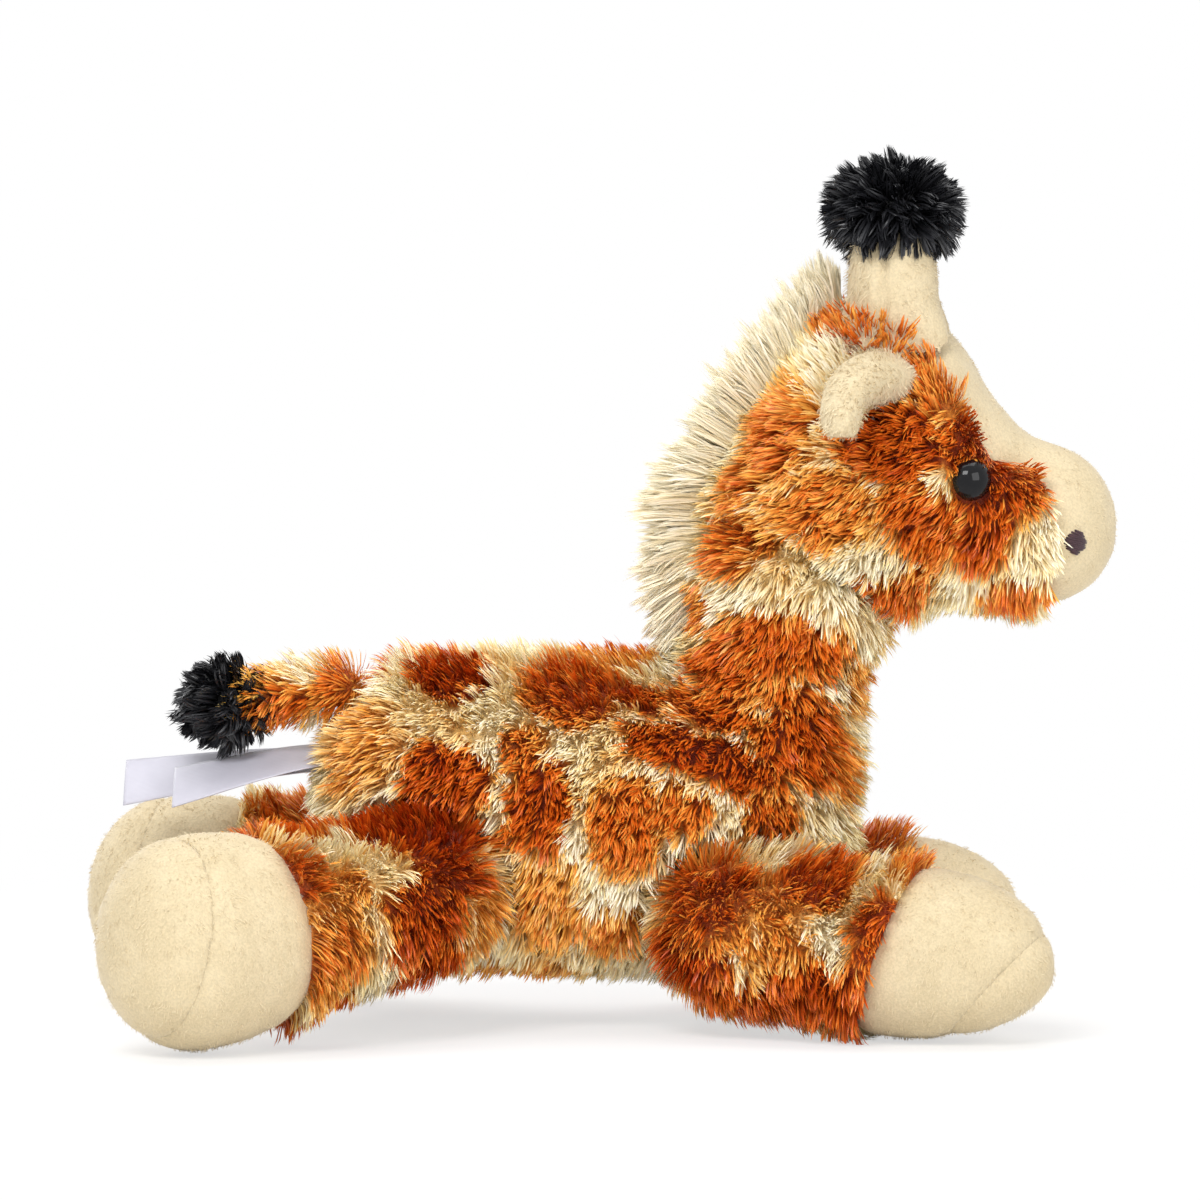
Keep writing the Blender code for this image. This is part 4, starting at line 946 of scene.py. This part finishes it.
# Root and tip colours of the black pile. The lighter bluish tips are partly a painted highlight.
BLACK_ROOTS = ((0.0, (0.004, 0.004, 0.005)), (1.0, (0.010, 0.010, 0.012)))
BLACK_TIPS = ((0.0, (0.010, 0.010, 0.012)), (1.0, (0.030, 0.031, 0.036)))
black_finish = pile_finish("black_pile", BLACK_ROOTS, BLACK_TIPS, roughness=0.3, specular=0.42)
black_pile = black_finish, "black_long_pile"
black_backing = backing_finish("black_backing", BLACK_ROOTS), "black_long_pile"
POMPOM_PILE = {"width": 0.42 * MM, "steps": 4, "tuft": 3.0 * MM, "gather": 0.72, "stray": 34.0, "roll": 90.0}


def pompom(name, part, body, shift, halves, comb, length, lean):
    """A ball of black long pile on gathered cloth. Halves are the cloth's half sizes in millimetres."""
    low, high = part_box(part)
    model = bmesh.new()
    bmesh.ops.create_icosphere(model, subdivisions=4, radius=MM)
    bmesh.ops.scale(model, vec=halves, verts=model.verts)
    bmesh.ops.translate(model, vec=(low + high) / 2 + Vector(shift), verts=model.verts)
    core = link(f"{name}_form", mesh_from(model, f"{name}_form"))
    add_values(core.data, tone=np.zeros(len(core.data.vertices)))
    panel(core, f"{name}_cloth", all_faces(core), body, black_backing, part)
    spots, ways = scatter(core, all_faces(core), 9.0, name)
    tones = chance(name).uniform(0, 1, len(spots))
    grow(f"{name}_pile", black_pile, body, spots, ways, comb, length, tones, lean=lean, **POMPOM_PILE)


HORN_FLARE = 3.2 * MM  # how far the horn's lower half widens towards the head
for side, outwards in (("right", -1), ("left", 1)):
    form = whole_form(f"horn_{side}_form", f"horn_{side}", grid=1.6 * MM)
    stuff(form, FUZZ_DEPTH, 0.4 * MM)
    low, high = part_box(f"horn_{side}")
    middle_x, middle_y = (low.x + high.x) / 2, (low.y + high.y) / 2
    places = corners(form.data)
    outer = (places[:, 1] - middle_y) * outwards > 0
    seam = np.where(outer, places[:, 0] - middle_x + 2.0 * MM, 1.0)
    pucker(form, seam, 0.9 * MM, 0.9 * MM)
    places = corners(form.data)
    rise = places[:, 2] / MM
    flare = HORN_FLARE * smoothstep(124, 130, rise) * (1 - smoothstep(131, 143, rise))
    places[:, 0] += flare * np.clip((places[:, 0] - middle_x) / (8 * MM), -1, 1)
    place(form.data, places)
    panel(form, f"horn_{side}_cloth", all_faces(form), "head", minky, f"horn_{side}")
    spots, ways = scatter(form, all_faces(form), 2.2, f"horn_{side}")
    length = np.where(spots[:, 0] < middle_x - 2.0 * MM, 2.0, 1.1) * MM
    settings = {"width": 0.14 * MM, "lean": (46, 78), "gather": 0.35}
    grow_short(f"horn_{side}_fuzz", "head", spots, ways, (0.0, 0.0, -1.0), length, side, **settings)

    # The head's fur goes up the horn's foot, on its outer side and its back
    spots, ways = scatter(form, all_faces(form), 3.0, f"horn_{side}_foot")
    edge = (136.5 + 2.5 * smoothstep(60, 50, spots[:, 0] / MM)) * MM + mottle(spots, 3 * MM, 8) * MM
    facing = (ways[:, 1] * outwards > -0.2) | (ways[:, 0] < -0.3)
    spots, ways = only((spots[:, 2] < edge) & (spots[:, 0] < 61 * MM) & facing, spots, ways)
    tones = 0.32 + 0.14 * mottle(spots, 4 * MM, 9)
    name = f"horn_{side}_foot_pile"
    grow(name, tawny_pile, "head", spots, ways, (0.2, 0.0, 1.0), PILE * 0.85, tones, lean=(25, 62))
    pompom(
        f"tuft_{side}", f"horn_{side}_tuft", "head", shift=(0, 0, -1.6 * MM), halves=(8.4, 6.6, 5.0),
        comb=(-0.25, 0.0, -1.0), length=7.2 * MM, lean=(4, 46),
    )


# Ears
# Padded leaves of cream minky, sewn inside out and turned. The edges bend in behind the middle, and the
# root is sewn into the side of the head.

EAR_STATIONS = (  # middle, half width across the leaf, half thickness, in millimetres for the right ear
    ((61.2, -9.5, 126.4), (0.5, 0.0, 3.4), 1.6),
    ((59.6, -12.0, 126.6), (0.3, -0.2, 4.7), 2.3),
    ((56.5, -16.0, 127.0), (0.0, -0.5, 5.3), 2.7),
    ((52.6, -20.5, 126.8), (-1.4, -1.2, 5.1), 2.9),
    ((49.3, -24.8, 125.0), (-3.3, -1.6, 3.6), 2.9),
    ((47.4, -28.0, 121.8), (-4.1, -1.2, 1.2), 2.7),
    ((46.8, -30.2, 118.6), (-3.7, -0.6, 0.2), 2.2),
    ((46.9, -31.2, 116.4), (-2.2, -0.2, 0.0), 1.3),
)
EAR_CUP = 0.55  # how far the edges bend in, as a share of the half width


def leaf(name, stations, mirrored):
    """A padded leaf whose edges bend in behind it."""
    model = bmesh.new()
    middles = [Vector(middle) * MM for middle, _, _ in stations]
    rings = []
    for number, (_, across, half) in enumerate(stations):
        before, after = middles[max(number - 1, 0)], middles[min(number + 1, len(middles) - 1)]
        across = Vector(across) * MM
        out = across.cross(after - before).normalized()
        out = out if out.y < 0 else -out
        ring = []
        for turn in np.linspace(0, math.tau, 20, endpoint=False):
            cup = across.length * EAR_CUP * math.cos(turn) ** 2
            spot = middles[number] + across * math.cos(turn) + out * (half * MM * math.sin(turn) - cup)
            ring.append(model.verts.new(spot))
        rings.append(ring)
    for ring, following in zip(rings, rings[1:]):
        for here in range(len(ring)):
            there = (here + 1) % len(ring)
            model.faces.new((ring[here], ring[there], following[there], following[here]))
    model.faces.new(rings[0])
    model.faces.new(rings[-1])
    if mirrored:
        bmesh.ops.scale(model, vec=(1, -1, 1), verts=model.verts)
        bmesh.ops.translate(model, vec=(0, 2 * MIDPLANE, 0), verts=model.verts)
    bmesh.ops.recalc_face_normals(model, faces=model.faces)
    form = link(name, mesh_from(model, name))
    finer = form.modifiers.new("finer", "SUBSURF")
    finer.levels = finer.render_levels = 2
    return finished(form)


for side, outwards in (("right", -1), ("left", 1)):
    form = leaf(f"ear_{side}_form", EAR_STATIONS, side == "left")
    body = f"{side}_ear"
    panel(form, f"ear_{side}_cloth", all_faces(form), body, minky, f"ear_{side}", thickness=0.4 * MM)
    spots, ways = scatter(form, all_faces(form), 3.2, f"ear_{side}")
    knee = np.array([0.057, MIDPLANE + outwards * 24 * MM, 0.128])
    comb = unit(spots - knee) + np.array([-0.35, 0.0, -0.2])
    settings = {"width": 0.17 * MM, "lean": (42, 76), "gather": 0.45, "stray": 15.0}
    grow_short(f"ear_{side}_fuzz", body, spots, ways, comb, 1.6 * MM, side, **settings)


# Mane
# A brush of long cream pile sewn into the seam along the back of the head, from the horns to the nape.

# Root and tip colours of the mane. The darker roots are partly painted shade between the dense fibres, and
# the lighter tips partly a painted highlight.
CREAM_ROOTS = ((0.0, (0.93, 0.77, 0.47)), (1.0, (0.98, 0.85, 0.58)))
CREAM_TIPS = ((0.0, (0.96, 0.87, 0.65)), (1.0, (1.0, 0.96, 0.82)))
cream_pile = pile_finish("cream_long_pile", CREAM_ROOTS, CREAM_TIPS, roughness=0.5)
FAN_FOOT = np.array([0.0494, MIDPLANE, 0.1033])  # the fibres fan out from here
rooted = []
for form, name in ((head_form, "mane"), (torso_form, "nape")):
    spots, _ = scatter(form, all_faces(form), 42, name)
    on_seam = (np.abs(spots[:, 1] - MIDPLANE) < 2.8 * MM) & (depth_in("mane", spots) < 5.5 * MM)
    rooted.append(spots[on_seam])
spots = np.concatenate(rooted)

# It fans out, stands up more on the head than at the nape, and spreads a little to both sides
out = unit((spots - FAN_FOOT) * np.array([1, 0, 1]))
out[:, 2] += 0.35 * smoothstep(84 * MM, 96 * MM, spots[:, 2])
out = unit(out)
out[:, 1] += (spots[:, 1] - MIDPLANE) / (2.6 * MM) * 0.16
out = unit(out)
sway = along_surface((-0.2, 0.0, -1.0), out)
tones = chance("mane").uniform(0, 1, len(spots))
settings = {"width": 0.38 * MM, "lean": (-6, 22), "steps": 4, "tuft": 3.2 * MM}
settings |= {"gather": 0.7, "stray": 19.0, "roll": 60.0}
mane = link("mane_pile", fibres("mane_pile", spots, out, sway, 13.0 * MM, tones, **settings))
mane.data.materials.append(cream_pile)
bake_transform(mane, "torso", "head", start=(0.030, MIDPLANE, 0.084), end=(0.030, MIDPLANE, 0.102))
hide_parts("mane")


# Tail
# A short stuffed tube of the patterned plush with a black brush sewn over its end.

TAIL_MARKS = (
    (-60.4, 62.6, 5.4, 2.7, 0, 0.30),
    (-64.9, 67.3, 3.9, 3.5, 0, 0.45),
    (-57.0, 73.0, 5.5, 2.6, 0, 0.36),
    (-49.5, 65.5, 3.5, 4.0, 0, 0.30),
)
form = whole_form("tail_form", "tail_cover", grid=1.6 * MM)
stuff(form, 2.6 * MM, 0.5 * MM)
tail_marks = Markings(form, TAIL_MARKS, 1.4)
add_values(form.data, tone=tail_marks.tone_at(corners(form.data)))
panel(form, "tail_cloth", all_faces(form), "tail", tawny_backing, "tail_cover")
spots, ways = scatter(form, all_faces(form), 3.6, "tail")
room = headroom(spots, ways, PILE, torso_form)
spots, ways, room = only(room > 1 * MM, spots, ways, room)
length = np.maximum(room, PILE * 0.75)
tones = tail_marks.tone_at(spots)
grow("tail_pile", tawny_pile, "tail", spots, ways, (-1.0, 0.0, -0.2), length, tones, lean=(20, 62))
pompom(
    "tassel", "tail_tassel", "tail", shift=(3.6 * MM, 0, -0.6 * MM), halves=(5.6, 4.6, 5.2),
    comb=(-1.0, 0.0, -0.8), length=6.2 * MM, lean=(16, 58),
)


# Eyes
# Domed safety eyes of glossy black plastic. Each one's stem goes through the cloth into a white washer
# that clips on behind it.


def turned(name, profile, axis, foot):
    """A turned body whose profile is a closed line of radii and heights up the axis from its foot."""
    model = bmesh.new()
    line = [model.verts.new((radius, 0.0, height)) for radius, height in profile]
    rims = [model.edges.new(pair) for pair in zip(line, line[1:] + line[:1])]
    around = {"cent": (0, 0, 0), "axis": (0, 0, 1), "angle": math.tau}
    bmesh.ops.spin(model, geom=line + rims, steps=48, use_merge=True, **around)
    bmesh.ops.remove_doubles(model, verts=model.verts, dist=0.002 * MM)
    bmesh.ops.dissolve_degenerate(model, edges=model.edges, dist=0.002 * MM)
    bmesh.ops.recalc_face_normals(model, faces=model.faces)
    stand = Matrix.Translation(foot) @ Vector(axis).to_track_quat("Z", "Y").to_matrix().to_4x4()
    bmesh.ops.transform(model, matrix=stand, verts=model.verts)
    mesh = mesh_from(model, name, smooth=True)
    mesh.set_sharp_from_angle(angle=math.radians(35))
    return link(name, mesh)


def axis_of(part):
    """The middle, the axis, the heights on it and the radii about it of a turned CAD solid's corners."""
    places = corners(nodes[part].data)
    middle = places.mean(axis=0)
    sizes, axes = np.linalg.eigh(np.cov((places - middle).T))
    odd = 2 if sizes[2] - sizes[1] > sizes[1] - sizes[0] else 0
    axis = axes[:, odd]
    heights = (places - middle) @ axis
    radii = np.linalg.norm(places - middle - heights[:, None] * axis, axis=1)
    return middle, axis, heights, radii


def varied(name, size, detail, colours, roughness=None, relief=None, **fixed):
    """A material whose colour drifts between two with a grain of the size given. Its roughness starts at
    the first of two values and rises with the grain by the second, and relief is how deep the grain is."""
    finish = Finish(name, **fixed)
    grain = finish.grain(size, detail)
    first, second = colours
    finish.paint(Base_Color=finish.mix(grain, (*first, 1.0), (*second, 1.0)))
    if roughness:
        finish.paint(Roughness=roughness[0] + grain * roughness[1])
    if relief:
        finish.paint(Normal=finish.bump(grain, relief))
    return finish.material, name


BLACKS = ((0.003, 0.003, 0.004), (0.006, 0.006, 0.007))
WHITES = ((0.72, 0.72, 0.70), (0.80, 0.80, 0.78))
eye_black = varied("eye_plastic", 1.5 * MM, 3.0, BLACKS, (0.05, 0.05), Specular_IOR_Level=0.25)
washer_white = varied("washer_plastic", 2.5 * MM, 3.0, WHITES, (0.35, 0.15), Specular_IOR_Level=0.4)
for side in ("right", "left"):
    middle, axis, heights, radii = axis_of(f"eye_{side}")
    if axis[1] * (middle[1] - MIDPLANE) < 0:
        axis, heights = -axis, -heights
    wide = heights[radii > radii.max() * 0.98].mean()
    rim, top, end = radii.max(), heights.max(), heights.min()
    stem = radii[heights < end + 0.2 * MM].max()
    dome = [(rim * math.cos(a), wide + (top - wide) * math.sin(a)) for a in np.linspace(0, math.pi / 2, 14)]
    collar = wide - 0.4 * MM
    foot = [(0.0, end), (stem * 0.7, end), (stem, end + 0.5 * MM), (stem, collar), (rim * 0.93, collar)]
    eye = turned(f"eye_{side}_dome", foot + dome[:-1] + [(0.0, top)], axis, middle)
    settle(eye, eye_black, "head", f"eye_{side}")
    middle, axis, heights, radii = axis_of(f"eye_washer_{side}")
    inner, outer, low, high = radii.min(), radii.max(), heights.min(), heights.max()
    bevel = (high - low) * 0.25
    ring = [(inner, low), (outer - bevel, low), (outer, low + bevel)]
    ring += [(outer, high - bevel), (outer - bevel, high), (inner, high)]
    washer = turned(f"washer_{side}", ring, axis, middle)
    settle(washer, washer_white, "head", f"eye_washer_{side}")


# Nostrils
# Satin stitches of dark plum thread, each one arching over the nose and down into the cloth at both ends.


def stitch(model, start, end, up, rise, thickness):
    """One thread that arches from start to end."""
    chord = end - start
    bend = chord.length**2 / (8 * rise) + rise / 2
    hub = (start + end) / 2 - up * (bend - rise)
    side = chord.cross(up).normalized()
    half = math.asin(min(1.0, chord.length / 2 / bend))
    ring = bmesh.ops.create_circle(model, segments=8, radius=thickness / 2)["verts"]
    outwards = (start - hub).normalized()
    stand = Matrix((outwards, side, outwards.cross(side))).transposed().to_4x4()
    bmesh.ops.transform(model, matrix=Matrix.Translation(start) @ stand, verts=ring)
    rims = list({edge for vertex in ring for edge in vertex.link_edges})
    bmesh.ops.spin(model, geom=ring + rims, cent=hub, axis=-side, angle=2 * half, steps=7)


HALF_WIDTH, HALF_HEIGHT = 2.35 * MM, 2.1 * MM  # of a whole nostril
SUNK, ARCH, THREAD = 0.35 * MM, 0.75 * MM, 0.46 * MM  # a stitch starts below the cloth and arches over it
PLUMS = ((0.020, 0.008, 0.012), (0.075, 0.030, 0.040))
shine = {"Sheen_Weight": 0.2, "Specular_IOR_Level": 0.35}
plum = varied("nostril_thread", 0.25 * MM, 3.0, PLUMS, (0.45, 0.2), 0.1 * MM, **shine)
for side in ("right", "left"):
    low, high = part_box(f"nostril_{side}")
    tree = BVHTree.FromObject(head_form, bpy.context.evaluated_depsgraph_get())
    spot, up, _, _ = tree.find_nearest((low + high) / 2)
    upright = Vector((0.15, 0, 1))
    tall = (upright - up * up.dot(upright)).normalized()
    wide = tall.cross(up).normalized()
    dice = chance(f"nostril_{side}")
    model = bmesh.new()
    for row in np.linspace(-1, 1, 12):
        half = HALF_WIDTH * math.sqrt(max(0.12, 1 - row * row)) + dice.uniform(-0.15, 0.3) * MM
        shift = dice.uniform(-0.15, 0.15) * MM
        middle = spot + tall * (row * HALF_HEIGHT) + wide * shift - up * SUNK
        reach = wide * half + tall * dice.uniform(-0.2, 0.2) * MM
        stitch(model, middle - reach, middle + reach, up, ARCH, THREAD)
    bmesh.ops.holes_fill(model, edges=[edge for edge in model.edges if edge.is_boundary], sides=0)
    bmesh.ops.recalc_face_normals(model, faces=model.faces)
    name = f"nostril_{side}_stitches"
    settle(link(name, mesh_from(model, name, smooth=True)), plum, "head", f"nostril_{side}")


# Labels
# Two bare white satin ribbons of 13 mm, sewn into the rump under the tail. They bow down, and their near
# edges roll under.

RIBBON_WIDTH = 13 * MM
SATIN = 0.18 * MM
LONGEST = 47 * MM
SEWN_IN = 8.0 * MM
ROLL = math.radians(38)  # how far the longer ribbon has turned at its end
satin = Finish("label_ribbon", Sheen_Weight=0.15, Specular_IOR_Level=0.45)
weave = satin.node(
    "ShaderNodeTexWave",
    {"wave_type": "BANDS", "bands_direction": "DIAGONAL"},
    {"Vector": satin.position(), "Scale": 1 / (3.2 * MM), "Distortion": 1.0},
)
satin.paint(
    Base_Color=satin.mix(satin.grain(4 * MM), (0.47, 0.46, 0.53, 1.0), (0.56, 0.55, 0.62, 1.0)),
    Roughness=0.38 + weave * 0.08,
    Normal=satin.bump(weave, 0.02 * MM, 0.5),
)
root_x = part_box("torso_cover")[0].x + 11 * MM
for name, reach, root_z, sag, shift in (
    ("care_label_long", LONGEST, 51.6 * MM, 4.4 * MM, 2.5 * MM),
    ("care_label_short", 37 * MM, 53.0 * MM, 6.0 * MM, -6.0 * MM),
):
    first = SEWN_IN / reach
    model = bmesh.new()
    bmesh.ops.create_grid(model, x_segments=60, y_segments=14, size=0.5)
    for vertex in model.verts:
        along, across = first + (vertex.co.x + 0.5) * (1 - first), vertex.co.y
        roll = ROLL * (0.25 + 0.75 * along * reach / LONGEST)
        curl = 1.2 * MM * (across * 2) ** 2 * math.sin(along * 5.0)
        edge = Vector((0, math.cos(roll), math.sin(roll))) * (across * RIBBON_WIDTH)
        lift = Vector((0, -math.sin(roll), math.cos(roll))) * curl * 0.3
        bow = math.sin(along * math.pi / 2)
        middle = Vector((root_x - reach * along, MIDPLANE + shift * bow, root_z - sag * along**1.6))
        vertex.co = middle + edge + lift
    ribbon = link(f"{name}_ribbon", mesh_from(model, f"{name}_ribbon", smooth=True))
    cloth = ribbon.modifiers.new("cloth", "SOLIDIFY")
    cloth.thickness, cloth.offset = SATIN, 0.0
    settle(ribbon, (satin.material, "label_ribbon"), "torso", name)
    reach * (1 - first)


# Fillings
# Loose polyester fibre that fills the covers, and a pouch of plastic pellets in the belly that weighs the
# toy down.

FLUFFS = ((0.70, 0.70, 0.69), (0.92, 0.92, 0.91))
GREYS = ((0.55, 0.55, 0.56), (0.66, 0.66, 0.67))
wadding = varied("fibre_filling", 1.2 * MM, 5.0, FLUFFS, relief=0.8 * MM, Roughness=0.9, Sheen_Weight=0.3)
pouch_cloth = varied("pellet_pouch_cloth", 3.0 * MM, 1.0, GREYS, relief=1.5 * MM, Roughness=0.8)
insides = [("torso_filling", "torso"), ("head_filling", "head"), ("belly_pellet_pouch", "torso")]
insides += [(f"{leg}_leg_filling", f"{leg}_leg") for leg in legs]
for name, body in insides:
    pouch = name == "belly_pellet_pouch"
    kind, gap, fill = (pouch_cloth, 0.4, 0.7) if pouch else (wadding, 2.0, 0.5)
    form = whole_form(f"{name}_form", name, grid=3.0 * MM)
    place(form.data, corners(form.data) - outward(form.data) * gap * MM)
    form.data.polygons.foreach_set("use_smooth", [True] * len(form.data.polygons))
    form.name = f"{name}_stuffing"
    settle(form, kind, body, name)

# The forms that the covers were cut from have done their work
for name in [piece.name for piece in bpy.data.objects if piece.name.endswith("_form")]:
    bpy.data.objects.remove(bpy.data.objects[name])


# Floor, light and camera
# A white sweep under soft light, seen almost level from the toy's right side.

SEEING_RAYS = ("Is Camera Ray", "Is Glossy Ray", "Is Transmission Ray")
WHITE = (1.0, 1.0, 1.0, 1.0)
model = bmesh.new()
bmesh.ops.create_grid(model, x_segments=1, y_segments=1, size=6.0)
floor = link("floor", mesh_from(model, "floor"))
paper = Finish("white_sweep", Roughness=0.9)
paper.paint(Base_Color=paper.mix(paper.grain(0.4), (0.92, 0.92, 0.92, 1.0), (0.94, 0.94, 0.94, 1.0)))
seen = sum(paper.node("ShaderNodeLightPath", output=ray) for ray in SEEING_RAYS)
glow = paper.node("ShaderNodeEmission", {}, {"Color": WHITE, "Strength": 1.0})
away = paper.node("ShaderNodeVectorMath", {"operation": "LENGTH"}, {0: paper.position()}, "Value")
ends = {0: away, 1: 0.10, 2: 0.32, 3: 0.6, 4: 1.0}  # from metres away to the share of the glow
fade = paper.node("ShaderNodeMapRange", {"interpolation_type": "SMOOTHSTEP"}, ends)
lit = Wire(paper, paper.shader.outputs[0])
white = paper.node("ShaderNodeMixShader", {}, {0: seen * fade, 1: lit, 2: glow})
paper.feed(paper.tree.nodes["Material Output"].inputs[0], white)
floor.data.materials.append(paper.material)
floor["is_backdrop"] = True

world = bpy.data.worlds.new("studio")
world.use_nodes = True
bpy.context.scene.world = world
sky = Wiring(world.node_tree)
seen = 0.0
for ray in SEEING_RAYS:
    sockets = {0: seen, 1: sky.node("ShaderNodeLightPath", output=ray)}
    seen = sky.node("ShaderNodeMath", {"operation": "MAXIMUM"}, sockets)
base = sky.tree.nodes["Background"]
sky.feed(base.inputs["Color"], WHITE)
sky.feed(base.inputs["Strength"], 0.5)
ground = Wire(sky, base.outputs[0])
white = sky.node("ShaderNodeBackground", {}, {"Color": WHITE})
either = sky.node("ShaderNodeMixShader", {}, {0: seen, 1: ground, 2: white})
sky.feed(sky.tree.nodes["World Output"].inputs[0], either)


def lamp(name, place, aim, size, power):
    """A soft oblong lamp that shines from its place to its aim, with its power in watts."""
    light = bpy.data.lights.new(name, "AREA")
    light.shape, light.size, light.size_y, light.energy = "RECTANGLE", size[0], size[1], power
    stand = link(name, light)
    stand.location = place
    stand.rotation_euler = (Vector(aim) - Vector(place)).to_track_quat("-Z", "Y").to_euler()


middle = (0.0, MIDPLANE, 0.08)
lamp("key", (-0.25, -0.75, 0.75), middle, (0.5, 0.35), 6.3)
lamp("fill", (0.55, -0.65, 0.35), middle, (0.5, 0.5), 2.5)
lamp("top", (0.0, 0.1, 0.9), middle, (0.8, 0.5), 3.6)
lamp("back", (-0.5, 0.7, 0.5), middle, (0.5, 0.5), 2.7)

# Almost level with the toy, 1.5 m away on its right
FILM_WIDTH = 36.0
PHOTO_WIDTH = 1200 * 0.195 * MM  # its pixels, and what one of them shows
camera_data = bpy.data.cameras.new("camera")
camera = link("camera", camera_data)
aim = Vector((0.0008, MIDPLANE, 0.0829))
camera.location = Vector((0.0008, MIDPLANE - 1.5, 0.175))
camera.rotation_euler = (aim - camera.location).to_track_quat("-Z", "Y").to_euler()
camera_data.sensor_width = FILM_WIDTH
camera_data.lens = FILM_WIDTH * (aim - camera.location).length / PHOTO_WIDTH
camera_data.clip_start = 0.05
bpy.context.scene.camera = camera
bpy.context.scene.view_settings.view_transform = "Standard"

bpy.context.view_layer.update()
low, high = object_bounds()
